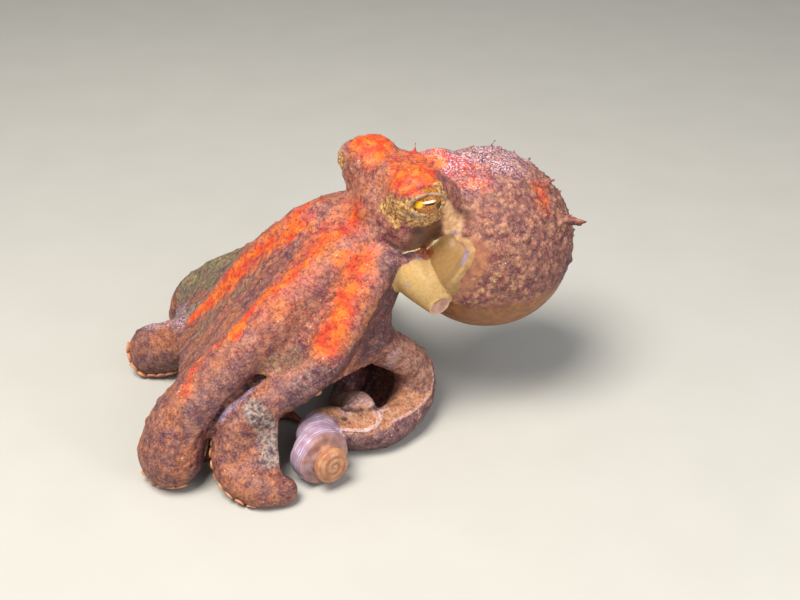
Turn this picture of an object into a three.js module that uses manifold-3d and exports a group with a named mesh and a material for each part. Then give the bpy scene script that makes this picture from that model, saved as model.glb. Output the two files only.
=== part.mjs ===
// A small red octopus standing on the sea floor, life size. Millimetres, +Z up, floor at z = 0.
// It faces -Y and its left side is +X. Its arms are numbered 1 to 4 on each side, from the
// front pair to the back pair. Each named part is one closed solid, a small gap from the next.
import * as THREE from 'three';
import { mergeVertices } from 'three/addons/utils/BufferGeometryUtils.js';
import Module from 'manifold-3d';

const wasm = await Module();
wasm.setup();

// ---- driving dimensions ----
const GAP = 0.3;                  // between parts that touch
const MANTLE_HALF_LENGTH = 30.5;
const MANTLE_HALF_WIDTH = 27;
const MANTLE_HALF_HEIGHT = 28;
const TURRET_RADIUS = 9.8;        // the raised mound round each eye
const EYE_RADIUS = 4.9;
const EYE_PROUD = 0.8;            // how far the eye stands out of its mound
const SIPHON_BORE = 2.6;
const SIPHON_BORE_DEPTH = 3.2;
const ARM_SIDES = 10;
const ARM_STEP = 8;               // length of one facet along an arm
const WEB_THICKNESS = 2.4;
const WEB_LIFT = 0.66;            // part of an arm's half height that the web lies above its middle
const FOLD_LIFT = 0.15;           // the same for the fold inside an arm's bend, which lies deeper
const WEB_ARCH = 0.1;              // part of a web's length that an arch of 1 draws up
const WEB_COLUMNS = 3;
const WEB_ROWS = 5;
const FLOOR_SIZE = 400;

// The points below are measured from a spot on the floor under the midpoint of the eyes.
// This shift puts the origin in the middle of the animal's bounding box instead.
const FRAME_SHIFT = new THREE.Vector3(28.9, 14.3, 0);

// Egg-shaped lobes of the body: centre, radii, and the direction of the second radius.
const MANTLE = {
  centre: [7.5, 29.1, 56.5],
  radii: [MANTLE_HALF_WIDTH, MANTLE_HALF_LENGTH, MANTLE_HALF_HEIGHT],
  axis: [0.1, 0.66, -0.74],
};
const SKULL = { centre: [2, 0.8, 73.5], radii: [14, 13.5, 15], axis: [0, -0.2, 1] };
const CROWN = { centre: [0.5, -4.4, 62], radii: [11.5, 9.5, 11], axis: [0, -0.6, 0.8] };
const COLLAR = { centre: [17.4, 8.6, 59], radii: [8.2, 11.6, 9], axis: [-0.2, 0.25, 0.95] };
const COLLAR_TOP = { centre: [18.5, 9.5, 62.5], radii: [7.6, 7.6, 7.6], axis: [0, 1, 0] };
// Muscle that fills the head out round the eyes and joins it to the mantle.
const HEAD_FILLS = {
  cheek: { centre: [14, 5, 76.6], radii: [7.6, 8.2, 10], axis: [0, 1, 0] },
  brow: { centre: [2, -1.5, 82], radii: [10, 7, 6.6], axis: [0, 1, 0] },
  stalkLeft: { centre: [11.4, -2.4, 74], radii: [8.6, 8.6, 11.5], axis: [0, 1, 0] },
  stalkRight: { centre: [-9, -0.6, 74.5], radii: [8.8, 8.8, 12], axis: [0, 1, 0] },
  neck: { centre: [-1.5, 6, 78.6], radii: [10, 8.6, 9], axis: [0, 1, 0] },
  nape: { centre: [0.4, 15, 77.8], radii: [9, 11, 9.2], axis: [0, 1, 0] },
};
const EYE_MOUNDS = {
  left: { centre: new THREE.Vector3(14, -1.3, 81), gaze: new THREE.Vector3(0.93, -0.2, 0.22).normalize() },
  right: { centre: new THREE.Vector3(-10.3, -1, 82.2), gaze: new THREE.Vector3(-0.93, -0.2, 0.3).normalize() },
};

// Soft pointed warts on the mantle: foot, point, radius at the foot.
const PAPILLAE = [
  { foot: [5.2, 31.6, 84], point: [6.2, 33.6, 88.6], radius: 1.5 },
  { foot: [20.6, 39.6, 77], point: [25.2, 42, 79.6], radius: 1.7 },
  { foot: [28, 41.2, 67], point: [33, 48.2, 66.8], radius: 2.6 },
];

// The siphon bends from the head forwards and down, in points of [x, y, z, half width, half height].
const SIPHON_PATH = [
  [9.5, -3, 60, 7.2, 7.2], [12.5, -2.4, 56.5, 7.1, 7.1], [15.2, -0.6, 52.8, 6.4, 6.4],
  [17.6, 1.2, 49.4, 5.2, 5.2], [19.6, 2, 47.5, 4.3, 4.3], [21.6, 1.9, 46.9, 3.7, 3.7],
];

// An arm's path runs from the crown round the mouth to its end, in points of
// [x, y, z, half width, half height]. It is divided at the listed point numbers. A tucked arm
// ends in a rounded bend on the floor, and its tip is a length of its own that lies under it.
const ARMS = {
  left_1: {
    path: [[4.6, -8, 67, 5.4, 5.4], [2.7, -21.2, 62, 6.4, 6], [0.6, -34.5, 54, 7, 6.4],
      [-1.2, -45.9, 44.8, 7.8, 6.8], [-3.4, -57.8, 34, 8.6, 7.2], [-5.2, -68, 25, 9.8, 8],
      [-6.4, -74.6, 16, 11, 9.2], [-6.2, -77, 9.2, 11.6, 10]],
    divide: [3],
    tuck: [[-7.4, -72, 6, 4, 4], [-9, -62, 3.6, 4, 4], [-13.4, -53, 3.4, 3.6, 3.6], [-16, -43, 3, 3.1, 3.1],
      [-13, -34.4, 2.6, 2.4, 2.4], [-7, -32, 1.8, 1.4, 1.6]],
  },
  left_2: {
    path: [[10, -8, 64, 5.2, 5.2], [10.3, -16.5, 55, 6, 5.6], [9.6, -23.5, 44.5, 6.6, 5.8],
      [8.8, -32.8, 34, 7.6, 6], [8, -42, 29, 7.8, 6], [7.1, -52, 25, 7.4, 6],
      [6.4, -60, 19, 6.6, 6], [7.2, -63.8, 11, 6.3, 6], [13, -63.8, 6, 6.2, 5.8],
      [19.6, -59.6, 5.2, 5.8, 5.6], [22.4, -55, 4.2, 4.6, 4.6]],
    divide: [3, 7],
  },
  left_3: {
    path: [[9, -5, 61, 5.2, 5.2], [7, -10.6, 51, 5.8, 5.6], [6, -11.9, 42, 6, 5.8],
      [5.6, -11.6, 34, 6.2, 6], [6.2, -8.4, 28.6, 6.4, 6.2], [7.4, -3, 24.4, 6.6, 6.4],
      [7.4, 2.2, 17.4, 6.7, 6.5], [9.2, 1.4, 9.4, 6.8, 6.8], [14.6, -8.6, 6.2, 6.7, 6.6],
      [15.6, -17.6, 6, 6.5, 6.4], [12.8, -25, 7.2, 6.2, 6.2], [9.4, -30.4, 9.6, 5.8, 5.8],
      [10.4, -35, 12, 5.3, 5.3], [14, -40, 13, 5, 5]],
    divide: [4, 8],
  },
  left_4: {
    path: [[5, 0, 60, 5, 5], [0.5, -3, 48, 5.4, 5.4], [-4, -5, 36, 5.6, 5.6],
      [-8.5, -6, 24, 5.5, 5.5], [-11, -8.5, 12.5, 5.2, 5.2], [-10, -12.5, 4.6, 4.9, 5],
      [-5.4, -16.6, 4.2, 4.5, 4.6], [1, -18.4, 7.6, 4.2, 4.2], [6.4, -19, 10.8, 4.7, 4.7],
      [11, -20.6, 12, 5.3, 5.3]],
    divide: [3, 6],
  },
  right_1: {
    path: [[-4.4, -7, 70.5, 5.4, 5.4], [-15.8, -16.5, 67, 6.2, 5.8], [-25, -24, 58, 6.8, 6],
      [-34, -31.5, 46, 7.2, 6.2], [-41, -37.4, 33, 7.6, 6.6], [-47.5, -42.8, 21.5, 8, 7.2],
      [-56, -49.5, 13, 8.8, 8.2], [-64.4, -56.2, 8.2, 9.4, 9]],
    divide: [3],
    tuck: [[-61, -51, 5, 4, 4], [-52, -40, 3.4, 3.8, 3.8], [-43, -34, 3.2, 3.4, 3.4], [-33, -31, 2.8, 3, 3],
      [-25, -34, 2.4, 2.2, 2.2], [-24, -40, 1.8, 1.4, 1.6]],
  },
  right_2: {
    path: [[-10, -3.6, 70, 5.2, 5.2], [-24, -9.2, 63.6, 6, 5.6], [-39, -15.2, 50.6, 6.4, 5.8],
      [-56, -22.1, 35.6, 6.6, 5.8], [-71.7, -28.5, 24.6, 6.6, 5.8], [-82.6, -33, 14, 6.4, 5.8],
      [-86.4, -34.8, 4.6, 6.2, 5.8]],
    divide: [3],
    tuck: [[-84, -33, 4, 3.8, 3.8], [-77, -29, 3.5, 3.8, 3.8], [-66, -21, 3.4, 3.6, 3.6], [-54, -14, 3, 3.1, 3.1],
      [-45, -15, 2.6, 2.4, 2.4], [-42, -21, 1.8, 1.4, 1.6]],
  },
  right_3: {
    path: [[-9, 0.4, 66, 5, 5], [-22, 5, 53, 5.8, 5.6], [-38, 13, 36, 6.2, 5.8],
      [-52, 22, 18, 6.2, 5.8], [-60, 28, 5.2, 5.8, 5.8], [-68, 29, 4.4, 4.8, 4.8],
      [-74, 24, 3.7, 4.1, 4.1], [-73.4, 16, 3, 3.4, 3.4], [-67, 12, 2.3, 2.6, 2.6],
      [-62, 14, 1.6, 1.6, 1.8]],
    divide: [2, 4],
  },
  right_4: {
    path: [[-4, 2.8, 61, 5, 5], [-11, 2.8, 47, 5.6, 5.6], [-19, 4, 31, 5.8, 5.8],
      [-27, 9, 15, 5.8, 5.8], [-32.4, 13.4, 5.2, 5.6, 5.6], [-39.4, 16.4, 4.4, 4.8, 4.8],
      [-46.4, 14, 3.7, 4.1, 4.1], [-48, 7, 3, 3.4, 3.4], [-43, 2, 2.3, 2.6, 2.6],
      [-38, 3, 1.6, 1.6, 1.8]],
    divide: [2, 4],
  },
};

// The last of the third left arm is rolled up like a ribbon, round an axis from hub to face.
const ROLL_HUB = new THREE.Vector3(14.5, -40.7, 9);
const ROLL_FACE = new THREE.Vector3(27.8, -40.2, 9);
const ROLL_RADIUS = 9.1;
const ROLL_CORE_RADIUS = 6;

// Each web joins two arms, from a point number on each one's path to another. Its free edge is
// drawn up in the middle by its arch. The fold fills the inside of the second left arm's bend, and
// the web between the third and fourth left arms hangs low, as a curtain behind the third one's coil.
const WEBS = {
  web_front: { arms: ['right_1', 'left_1'], from: [0.1, 0.1], to: [6, 5.2], arch: 0.3 },
  web_left_1_2: { arms: ['left_1', 'left_2'], from: [0.1, 0.1], to: [3.8, 4], arch: 0.2 },
  web_left_2_3: { arms: ['left_2', 'left_3'], from: [0.1, 0.1], to: [6, 4.4], arch: 0.4 },
  web_left_2_fold: { arms: ['left_2', 'left_2'], from: [4.5, 10], to: [6.9, 7.7], arch: 0, lift: FOLD_LIFT },
  web_left_3_4: { arms: ['left_3', 'left_4'], from: [0.1, 0.1], to: [7.5, 5.3], arch: 0 },
  web_back: { arms: ['left_4', 'right_4'], from: [0.1, 0.1], to: [2.5, 2.3], arch: 0.3 },
  web_right_4_3: { arms: ['right_4', 'right_3'], from: [0.1, 0.1], to: [2.8, 2.7], arch: 0.5 },
  web_right_3_2: { arms: ['right_3', 'right_2'], from: [0.1, 0.1], to: [3.1, 3.6], arch: 0.6 },
  web_right_2_1: { arms: ['right_2', 'right_1'], from: [0.1, 0.1], to: [5.3, 6.2], arch: 0.3 },
};

// ---- materials ----
const skin = (color) => new THREE.MeshStandardMaterial({ color, roughness: 0.55, metalness: 0 });
const RED_SKIN = skin('#a8452c');
const BROWN_SKIN = skin('#7d4a3a');
const WEB_SKIN = skin('#96493a');
const AMBER_SKIN = skin('#c99a52');
const EYE_GLOSS = new THREE.MeshStandardMaterial({ color: '#c9962a', roughness: 0.12, metalness: 0 });

// ---- solids ----
function toSolid(geometry) {
  const bare = geometry.index ? geometry.clone() : geometry.toNonIndexed();
  bare.deleteAttribute('normal');
  bare.deleteAttribute('uv');
  const merged = mergeVertices(bare, 1e-4);
  return new wasm.Manifold(new wasm.Mesh({
    numProp: 3,
    vertProperties: new Float32Array(merged.attributes.position.array),
    triVerts: new Uint32Array(merged.index.array),
  }));
}

function toGeometry(solid) {
  const mesh = solid.getMesh();
  const geometry = new THREE.BufferGeometry();
  geometry.setAttribute('position', new THREE.BufferAttribute(mesh.vertProperties, 3));
  geometry.setIndex(new THREE.BufferAttribute(mesh.triVerts, 1));
  geometry.computeVertexNormals();
  return geometry;
}

function facesToSolid(points, faces) {
  const turns = new THREE.Vector3();
  let volume = 0;
  for (const [a, b, c] of faces) {
    volume += points[a].dot(turns.crossVectors(points[b], points[c]));
  }
  const outward = volume > 0 ? faces : faces.map(([a, b, c]) => [a, c, b]);
  const geometry = new THREE.BufferGeometry().setFromPoints(points);
  geometry.setIndex(outward.flat());
  return toSolid(geometry);
}

function ellipsoid({ centre, radii, axis }, grow, segments) {
  const geometry = new THREE.SphereGeometry(1, segments, Math.round(segments / 2));
  geometry.scale(...radii.map((radius) => radius + grow));
  const direction = new THREE.Vector3(...axis).normalize();
  geometry.applyQuaternion(new THREE.Quaternion().setFromUnitVectors(new THREE.Vector3(0, 1, 0), direction));
  geometry.translate(...centre);
  return toSolid(geometry);
}

function ball(centre, radius, segments) {
  return ellipsoid({ centre: centre.toArray(), radii: [radius, radius, radius], axis: [0, 1, 0] }, 0, segments);
}

// A turned solid: the profile is a list of [radius, distance along the axis], from pole to pole.
function turned(profile, start, end, segments) {
  const points = profile.map(([radius, along]) => new THREE.Vector2(radius, along));
  const geometry = new THREE.LatheGeometry(points, segments);
  const axis = end.clone().sub(start).normalize();
  geometry.applyQuaternion(new THREE.Quaternion().setFromUnitVectors(new THREE.Vector3(0, 1, 0), axis));
  geometry.translate(start.x, start.y, start.z);
  return toSolid(geometry);
}

// A soft wart: its foot is sunk in the skin, and it narrows to a blunt point.
function papilla(foot, point, radius) {
  const length = foot.distanceTo(point);
  return turned([[0, -2], [radius, -1.6], [radius * 0.8, length * 0.5], [radius * 0.6, length * 0.9], [0, length]],
    foot, point, 6);
}

// ---- arms ----
class ArmPath {
  constructor(points) {
    this.points = points;
    this.curve = new THREE.CatmullRomCurve3(points.map(([x, y, z]) => new THREE.Vector3(x, y, z)));
    this.last = points.length - 1;
  }

  centre(at) {
    return this.curve.getPoint(Math.min(at / this.last, 1));
  }

  tangent(at) {
    return this.curve.getTangent(Math.min(at / this.last, 1));
  }

  halfSizes(at) {
    const before = Math.min(Math.floor(at), this.last - 1);
    const part = at - before;
    return [3, 4].map((column) => THREE.MathUtils.lerp(
      this.points[before][column], this.points[before + 1][column], part));
  }

  // The sideways direction is level at the root and is carried along without twist.
  sideAt(at) {
    const slices = 12;
    let side = new THREE.Vector3().crossVectors(this.tangent(0), new THREE.Vector3(0, 0, 1)).normalize();
    for (let i = 1; i <= slices; i += 1) {
      const tangent = this.tangent((at * i) / slices);
      side = side.addScaledVector(tangent, -side.dot(tangent)).normalize();
    }
    return side;
  }

  rings(from, to) {
    let length = 0;
    const samples = 20;
    for (let i = 0; i < samples; i += 1) {
      const here = this.centre(from + ((to - from) * i) / samples);
      length += here.distanceTo(this.centre(from + ((to - from) * (i + 1)) / samples));
    }
    const count = Math.max(2, Math.round(length / ARM_STEP));
    return Array.from({ length: count + 1 }, (_, i) => from + ((to - from) * i) / count);
  }
}

function ringOf(path, at, grow, slide, shrink) {
  const centre = path.centre(at);
  const tangent = path.tangent(at);
  const side = path.sideAt(at);
  const up = new THREE.Vector3().crossVectors(side, tangent).normalize();
  const [width, height] = path.halfSizes(at).map((half) => (half + grow) * shrink);
  return Array.from({ length: ARM_SIDES }, (_, i) => {
    const angle = (2 * Math.PI * i) / ARM_SIDES;
    return centre.clone().addScaledVector(tangent, slide)
      .addScaledVector(side, width * Math.cos(angle))
      .addScaledVector(up, height * Math.sin(angle));
  });
}

// One length of an arm. A flat end stops half a gap short of the cut, and a rounded one
// carries on past it as a dome.
function armLength(path, from, to, grow, roundEnd) {
  const rings = path.rings(from, to).map((at) => ringOf(path, at, grow, 0, 1));
  const cut = GAP / 2 - grow;
  rings[0] = ringOf(path, from, grow, cut, 1);
  const reach = path.halfSizes(to)[1];
  if (roundEnd) {
    for (const angle of [0.6, 1.2]) {
      rings.push(ringOf(path, to, grow, (reach + grow) * Math.sin(angle) * 0.95, Math.cos(angle)));
    }
  } else {
    rings[rings.length - 1] = ringOf(path, to, grow, -cut, 1);
  }
  const points = rings.flat();
  const faces = [];
  for (let r = 0; r < rings.length - 1; r += 1) {
    for (let i = 0; i < ARM_SIDES; i += 1) {
      const a = r * ARM_SIDES + i;
      const b = r * ARM_SIDES + ((i + 1) % ARM_SIDES);
      faces.push([a, b, b + ARM_SIDES], [a, b + ARM_SIDES, a + ARM_SIDES]);
    }
  }
  for (const [ring, flip] of [[0, true], [rings.length - 1, false]]) {
    const first = ring * ARM_SIDES;
    const middle = points.length;
    points.push(rings[ring].reduce((sum, p) => sum.add(p), new THREE.Vector3()).divideScalar(ARM_SIDES));
    for (let i = 0; i < ARM_SIDES; i += 1) {
      const next = first + ((i + 1) % ARM_SIDES);
      faces.push(flip ? [first + i, middle, next] : [first + i, next, middle]);
    }
  }
  return facesToSolid(points, faces);
}

// ---- webs ----
function webSlab(web, grow) {
  const [first, second] = web.arms.map((name) => armPaths[name]);
  const pointAt = (s, t) => {
    const drawn = t * (1 - WEB_ARCH * web.arch * Math.sin(Math.PI * s));
    const [a, b] = [first, second].map((path, side) => path.centre(
      THREE.MathUtils.lerp(web.from[side], web.to[side], drawn)));
    return a.lerp(b, s);
  };
  const outer = [];
  const inner = [];
  const nudge = 0.01;
  for (let row = 0; row <= WEB_ROWS; row += 1) {
    for (let column = 0; column <= WEB_COLUMNS; column += 1) {
      const s = column / WEB_COLUMNS;
      const t = row / WEB_ROWS;
      const along = pointAt(s, Math.min(t + nudge, 1)).sub(pointAt(s, Math.max(t - nudge, 0)));
      const across = pointAt(Math.min(s + nudge, 1), t).sub(pointAt(Math.max(s - nudge, 0), t));
      const normal = new THREE.Vector3().crossVectors(along, across).normalize();
      const sizes = [first, second].map((path, side) => path.halfSizes(
        THREE.MathUtils.lerp(web.from[side], web.to[side], t))[1]);
      const lift = (web.lift ?? WEB_LIFT) * THREE.MathUtils.lerp(sizes[0], sizes[1], s);
      const middle = pointAt(s, t).addScaledVector(normal, lift);
      outer.push(middle.clone().addScaledVector(normal, WEB_THICKNESS / 2 + grow));
      inner.push(middle.clone().addScaledVector(normal, -WEB_THICKNESS / 2 - grow));
    }
  }
  const wide = WEB_COLUMNS + 1;
  const under = outer.length;
  const faces = [];
  for (let row = 0; row < WEB_ROWS; row += 1) {
    for (let column = 0; column < WEB_COLUMNS; column += 1) {
      const a = row * wide + column;
      faces.push([a, a + 1, a + wide + 1], [a, a + wide + 1, a + wide]);
      faces.push([under + a, under + a + wide + 1, under + a + 1]);
      faces.push([under + a, under + a + wide, under + a + wide + 1]);
    }
  }
  const edge = [];
  for (let column = 0; column < WEB_COLUMNS; column += 1) edge.push(column);
  for (let row = 0; row < WEB_ROWS; row += 1) edge.push(row * wide + WEB_COLUMNS);
  for (let column = WEB_COLUMNS; column > 0; column -= 1) edge.push(WEB_ROWS * wide + column);
  for (let row = WEB_ROWS; row > 0; row -= 1) edge.push(row * wide);
  edge.forEach((a, i) => {
    const b = edge[(i + 1) % edge.length];
    faces.push([a, under + a, under + b], [a, under + b, b]);
  });
  return facesToSolid([...outer, ...inner], faces);
}

// ---- the animal ----
const group = new THREE.Group();
group.position.copy(FRAME_SHIFT);
const placed = [];
const floorBlock = toSolid(new THREE.BoxGeometry(FLOOR_SIZE, FLOOR_SIZE, FLOOR_SIZE / 4)
  .translate(0, 0, -FLOOR_SIZE / 8));

function biggestPiece(solid) {
  return solid.decompose().reduce((best, piece) => (piece.volume() > best.volume() ? piece : best));
}

function overlaps(a, b) {
  return [0, 1, 2].every((i) => a.min[i] <= b.max[i] && b.min[i] <= a.max[i]);
}

// Adds a named part. make(grow) builds its solid, grown outwards by that much: later parts are
// cut back by the grown solids of earlier ones, so that neighbours keep a gap.
function addPart(name, material, make) {
  let solid = make(0).subtract(floorBlock);
  const box = solid.boundingBox();
  for (const other of placed) {
    if (overlaps(box, other.box)) solid = solid.subtract(other.grown);
  }
  const mesh = new THREE.Mesh(toGeometry(biggestPiece(solid)), material);
  mesh.name = name;
  group.add(mesh);
  const grown = make(GAP);
  placed.push({ grown, box: grown.boundingBox() });
}

for (const [side, mound] of Object.entries(EYE_MOUNDS)) {
  const centre = mound.centre.clone().addScaledVector(mound.gaze, TURRET_RADIUS + EYE_PROUD - EYE_RADIUS);
  addPart(`eye_${side}`, EYE_GLOSS, (grow) => ball(centre, EYE_RADIUS + grow, 10));
}

addPart('siphon', AMBER_SKIN, (grow) => {
  const path = new ArmPath(SIPHON_PATH);
  const tip = path.centre(path.last);
  const inward = path.tangent(path.last).negate();
  const bored = SIPHON_BORE - grow;
  const bore = turned([[0, -1], [bored, -1], [bored * 0.8, SIPHON_BORE_DEPTH], [0, SIPHON_BORE_DEPTH + 0.4]],
    tip, tip.clone().add(inward), ARM_SIDES);
  return armLength(path, 0, path.last, grow, false).subtract(bore);
});

addPart('siphon_collar', AMBER_SKIN, (grow) => ellipsoid(COLLAR, grow, 10).add(ellipsoid(COLLAR_TOP, grow, 8)));

addPart('head', RED_SKIN, (grow) => {
  const mounds = Object.values(EYE_MOUNDS).map((mound) => ball(mound.centre, TURRET_RADIUS + grow, 10));
  const fills = Object.values(HEAD_FILLS).map((lobe) => ellipsoid(lobe, grow, 8));
  return [...mounds, ...fills].reduce((whole, lobe) => whole.add(lobe), ellipsoid(SKULL, grow, 10));
});

addPart('crown', BROWN_SKIN, (grow) => ellipsoid(CROWN, grow, 10));

addPart('mantle', RED_SKIN, (grow) => PAPILLAE.reduce((whole, { foot, point, radius }) => whole.add(
  papilla(new THREE.Vector3(...foot), new THREE.Vector3(...point), radius + grow)), ellipsoid(MANTLE, grow, 16)));

const armPaths = {};
for (const [name, arm] of Object.entries(ARMS)) {
  armPaths[name] = new ArmPath(arm.path);
}

addPart('arm_left_3_roll', BROWN_SKIN, (grow) => {
  const length = ROLL_FACE.distanceTo(ROLL_HUB);
  const outer = ROLL_RADIUS + grow;
  const core = ROLL_CORE_RADIUS + grow;
  return turned([[0, -grow], [outer * 0.72, -grow], [outer, length * 0.2], [outer, length * 0.55],
    [outer * 0.8, length * 0.68], [core, length * 0.7], [core, length * 0.93],
    [core * 0.75, length + grow], [0, length + grow]], ROLL_HUB, ROLL_FACE, 16);
});

for (const [name, arm] of Object.entries(ARMS)) {
  const path = armPaths[name];
  const cuts = [0, ...arm.divide, path.last];
  ['base', 'middle', 'tip'].slice(0, cuts.length - 1).forEach((length, i) => {
    const ends = i === cuts.length - 2 && name !== 'left_3';
    addPart(`arm_${name}_${length}`, i ? BROWN_SKIN : RED_SKIN,
      (grow) => armLength(path, cuts[i], cuts[i + 1], grow, ends));
  });
  if (arm.tuck) {
    const tuck = new ArmPath(arm.tuck);
    addPart(`arm_${name}_tip`, BROWN_SKIN, (grow) => armLength(tuck, 0, tuck.last, grow, true));
  }
}

for (const [name, web] of Object.entries(WEBS)) {
  addPart(name, WEB_SKIN, (grow) => webSlab(web, grow));
}

export default group;
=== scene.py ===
# The looks of a small red octopus, life size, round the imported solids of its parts.
# It faces -Y, its left side is +X and the floor is at z = 0. Sizes are in millimetres, measured
# from the spot on the floor under the midpoint of its eyes, and MM turns them into metres.
import math

import bpy
import numpy as np
from mathutils import Matrix, Vector
from mathutils.bvhtree import BVHTree
from mathutils.kdtree import KDTree


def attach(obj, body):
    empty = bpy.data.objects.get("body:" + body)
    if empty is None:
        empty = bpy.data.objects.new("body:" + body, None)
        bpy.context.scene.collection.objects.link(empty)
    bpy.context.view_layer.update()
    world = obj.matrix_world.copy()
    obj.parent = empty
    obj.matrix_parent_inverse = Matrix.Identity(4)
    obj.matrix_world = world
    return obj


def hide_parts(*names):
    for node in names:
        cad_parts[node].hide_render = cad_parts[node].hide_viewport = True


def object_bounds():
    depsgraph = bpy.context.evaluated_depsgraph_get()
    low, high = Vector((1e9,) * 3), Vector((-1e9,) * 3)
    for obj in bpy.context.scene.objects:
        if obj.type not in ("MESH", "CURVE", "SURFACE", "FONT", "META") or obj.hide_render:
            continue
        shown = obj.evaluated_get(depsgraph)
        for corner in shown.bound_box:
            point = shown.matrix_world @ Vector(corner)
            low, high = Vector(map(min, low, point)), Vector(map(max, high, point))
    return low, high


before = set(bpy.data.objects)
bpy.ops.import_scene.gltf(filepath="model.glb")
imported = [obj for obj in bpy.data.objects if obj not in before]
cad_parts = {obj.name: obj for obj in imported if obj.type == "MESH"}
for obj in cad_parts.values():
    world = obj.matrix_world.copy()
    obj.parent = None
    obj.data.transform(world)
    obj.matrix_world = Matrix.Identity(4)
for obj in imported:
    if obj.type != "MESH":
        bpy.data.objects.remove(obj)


def plain_box():
    return [[float(value) for value in corner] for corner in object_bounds()]


CAD_BOX = plain_box()
MM = 0.001
EYE_SPOT = np.array((28.9, 14.3, 0.0))   # where the spot under the eyes lies in the model's frame

# ---- sizes ----
FINE_VOXEL = 0.5                          # grid on which the parts are welded into one skin
VOXEL = FINE_VOXEL
SKIN_TRIANGLES = 196000
SKIN_GAP = 0.02                           # the skin stays this far inside the box round the solids
SUCKER_GAP = 0.03                         # and the suckers this far
MANTLE_HALF_LENGTH = 30.5
MANTLE_HALF_WIDTH = 27.0
MANTLE_HALF_HEIGHT = 28.0
MANTLE_CENTRE = (7.5, 29.1, 56.5)
MANTLE_AXIS = (0.1, 0.66, -0.74)
TURRET_RADIUS = 9.8                       # the raised mound round each eye
EYE_RADIUS = 4.9
EYE_PROUD = 0.8                           # how far the eye stands out of its mound
EYE_OPENING = (3.8, 2.2)                  # half length and half height of the gap between the lids
EYE_OPENING_SHIFT = (1.1, -0.4)           # how far forwards and up that gap lies from the gaze
EYE_MOUNDS = {
    "left": {"centre": (14, -1.3, 81), "gaze": (0.93, -0.2, 0.22)},
    "right": {"centre": (-10.3, -1, 82.2), "gaze": (-0.93, -0.2, 0.3)},
}
SKULL = {"centre": (2, 0.8, 73.5), "radii": (14, 13.5, 15), "axis": (0, -0.2, 1)}
CROWN = {"centre": (0.5, -4.4, 62), "radii": (11.5, 9.5, 11), "axis": (0, -0.6, 0.8)}
COLLAR = {"centre": (17.4, 8.6, 59), "radii": (8.2, 11.6, 9), "axis": (-0.2, 0.25, 0.95)}
MANTLE = {
    "centre": MANTLE_CENTRE,
    "radii": (MANTLE_HALF_WIDTH, MANTLE_HALF_LENGTH, MANTLE_HALF_HEIGHT),
    "axis": MANTLE_AXIS,
}
COLLAR_TOP = {"centre": (18.5, 9.5, 62.5), "radii": (7.6, 7.6, 7.6), "axis": (0, 1, 0)}
HEAD_FILLS = {                            # muscle round the eyes that joins the head to the mantle
    "cheek": {"centre": (14, 5, 76.6), "radii": (7.6, 8.2, 10), "axis": (0, 1, 0)},
    "brow": {"centre": (2, -1.5, 82), "radii": (10, 7, 6.6), "axis": (0, 1, 0)},
    "stalk_left": {"centre": (11.4, -2.4, 74), "radii": (8.6, 8.6, 11.5), "axis": (0, 1, 0)},
    "stalk_right": {"centre": (-9, -0.6, 74.5), "radii": (8.8, 8.8, 12), "axis": (0, 1, 0)},
    "neck": {"centre": (-1.5, 6, 78.6), "radii": (10, 8.6, 9), "axis": (0, 1, 0)},
    "nape": {"centre": (0.4, 15, 77.8), "radii": (9, 11, 9.2), "axis": (0, 1, 0)},
}
# The siphon's path, in points of [x, y, z, half width, half height], and its open end
SIPHON_PATH = [
    [9.5, -3, 60, 7.2, 7.2], [12.5, -2.4, 56.5, 7.1, 7.1], [15.2, -0.6, 52.8, 6.4, 6.4],
    [17.6, 1.2, 49.4, 5.2, 5.2], [19.6, 2, 47.5, 4.3, 4.3], [21.6, 1.9, 46.9, 3.7, 3.7]]
SIPHON_BORE = 2.9
SIPHON_BORE_DEPTH = 3.2
COLLAR_RIM = [
    [22.4, 8.6, 68.2, 0.5, 0.5], [24.1, 9.6, 66.8, 0.65, 0.65], [25.3, 10.1, 64.9, 0.75, 0.75],
    [25.5, 8.9, 62.3, 0.8, 0.8], [25, 7.4, 59.3, 0.8, 0.8], [24.2, 5.7, 56.5, 0.75, 0.75],
    [22.7, 4.3, 53.7, 0.55, 0.55]]
# Soft pointed warts on the mantle and nape: foot, point, radius, and the share of it that the point
# keeps. Rows three to five make one ragged flap.
PAPILLAE = (
    ((5.2, 31.6, 84), (6.2, 33.6, 88.6), 1.4, 0.4),
    ((20.6, 39.6, 77), (25.2, 42, 79.6), 1.6, 0.4),
    ((28, 41.2, 67), (31.6, 46.2, 67.5), 2.1, 0.6),
    ((30.6, 44.8, 67.2), (33.6, 48.6, 66.9), 1.4, 0.6),
    ((30, 44.2, 66.6), (32.6, 47.4, 65.2), 1.2, 0.5),
    ((-2.4, 9.4, 86), (-4, 10.6, 89.6), 1.2, 0.3),
)
SMALL_WARTS = 240                         # spread over the whole mantle, and kept on its top and rear
GOLDEN_ANGLE = math.pi * (3 - math.sqrt(5))
SMALL_WART_RADIUS = 0.95
SMALL_WART_HEIGHT = 1.7
ARM_WARTS = 14                            # along the back of each arm
ARM_WART_RADIUS = 0.9
ARM_WART_HEIGHT = SMALL_WART_HEIGHT * 0.8
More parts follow.
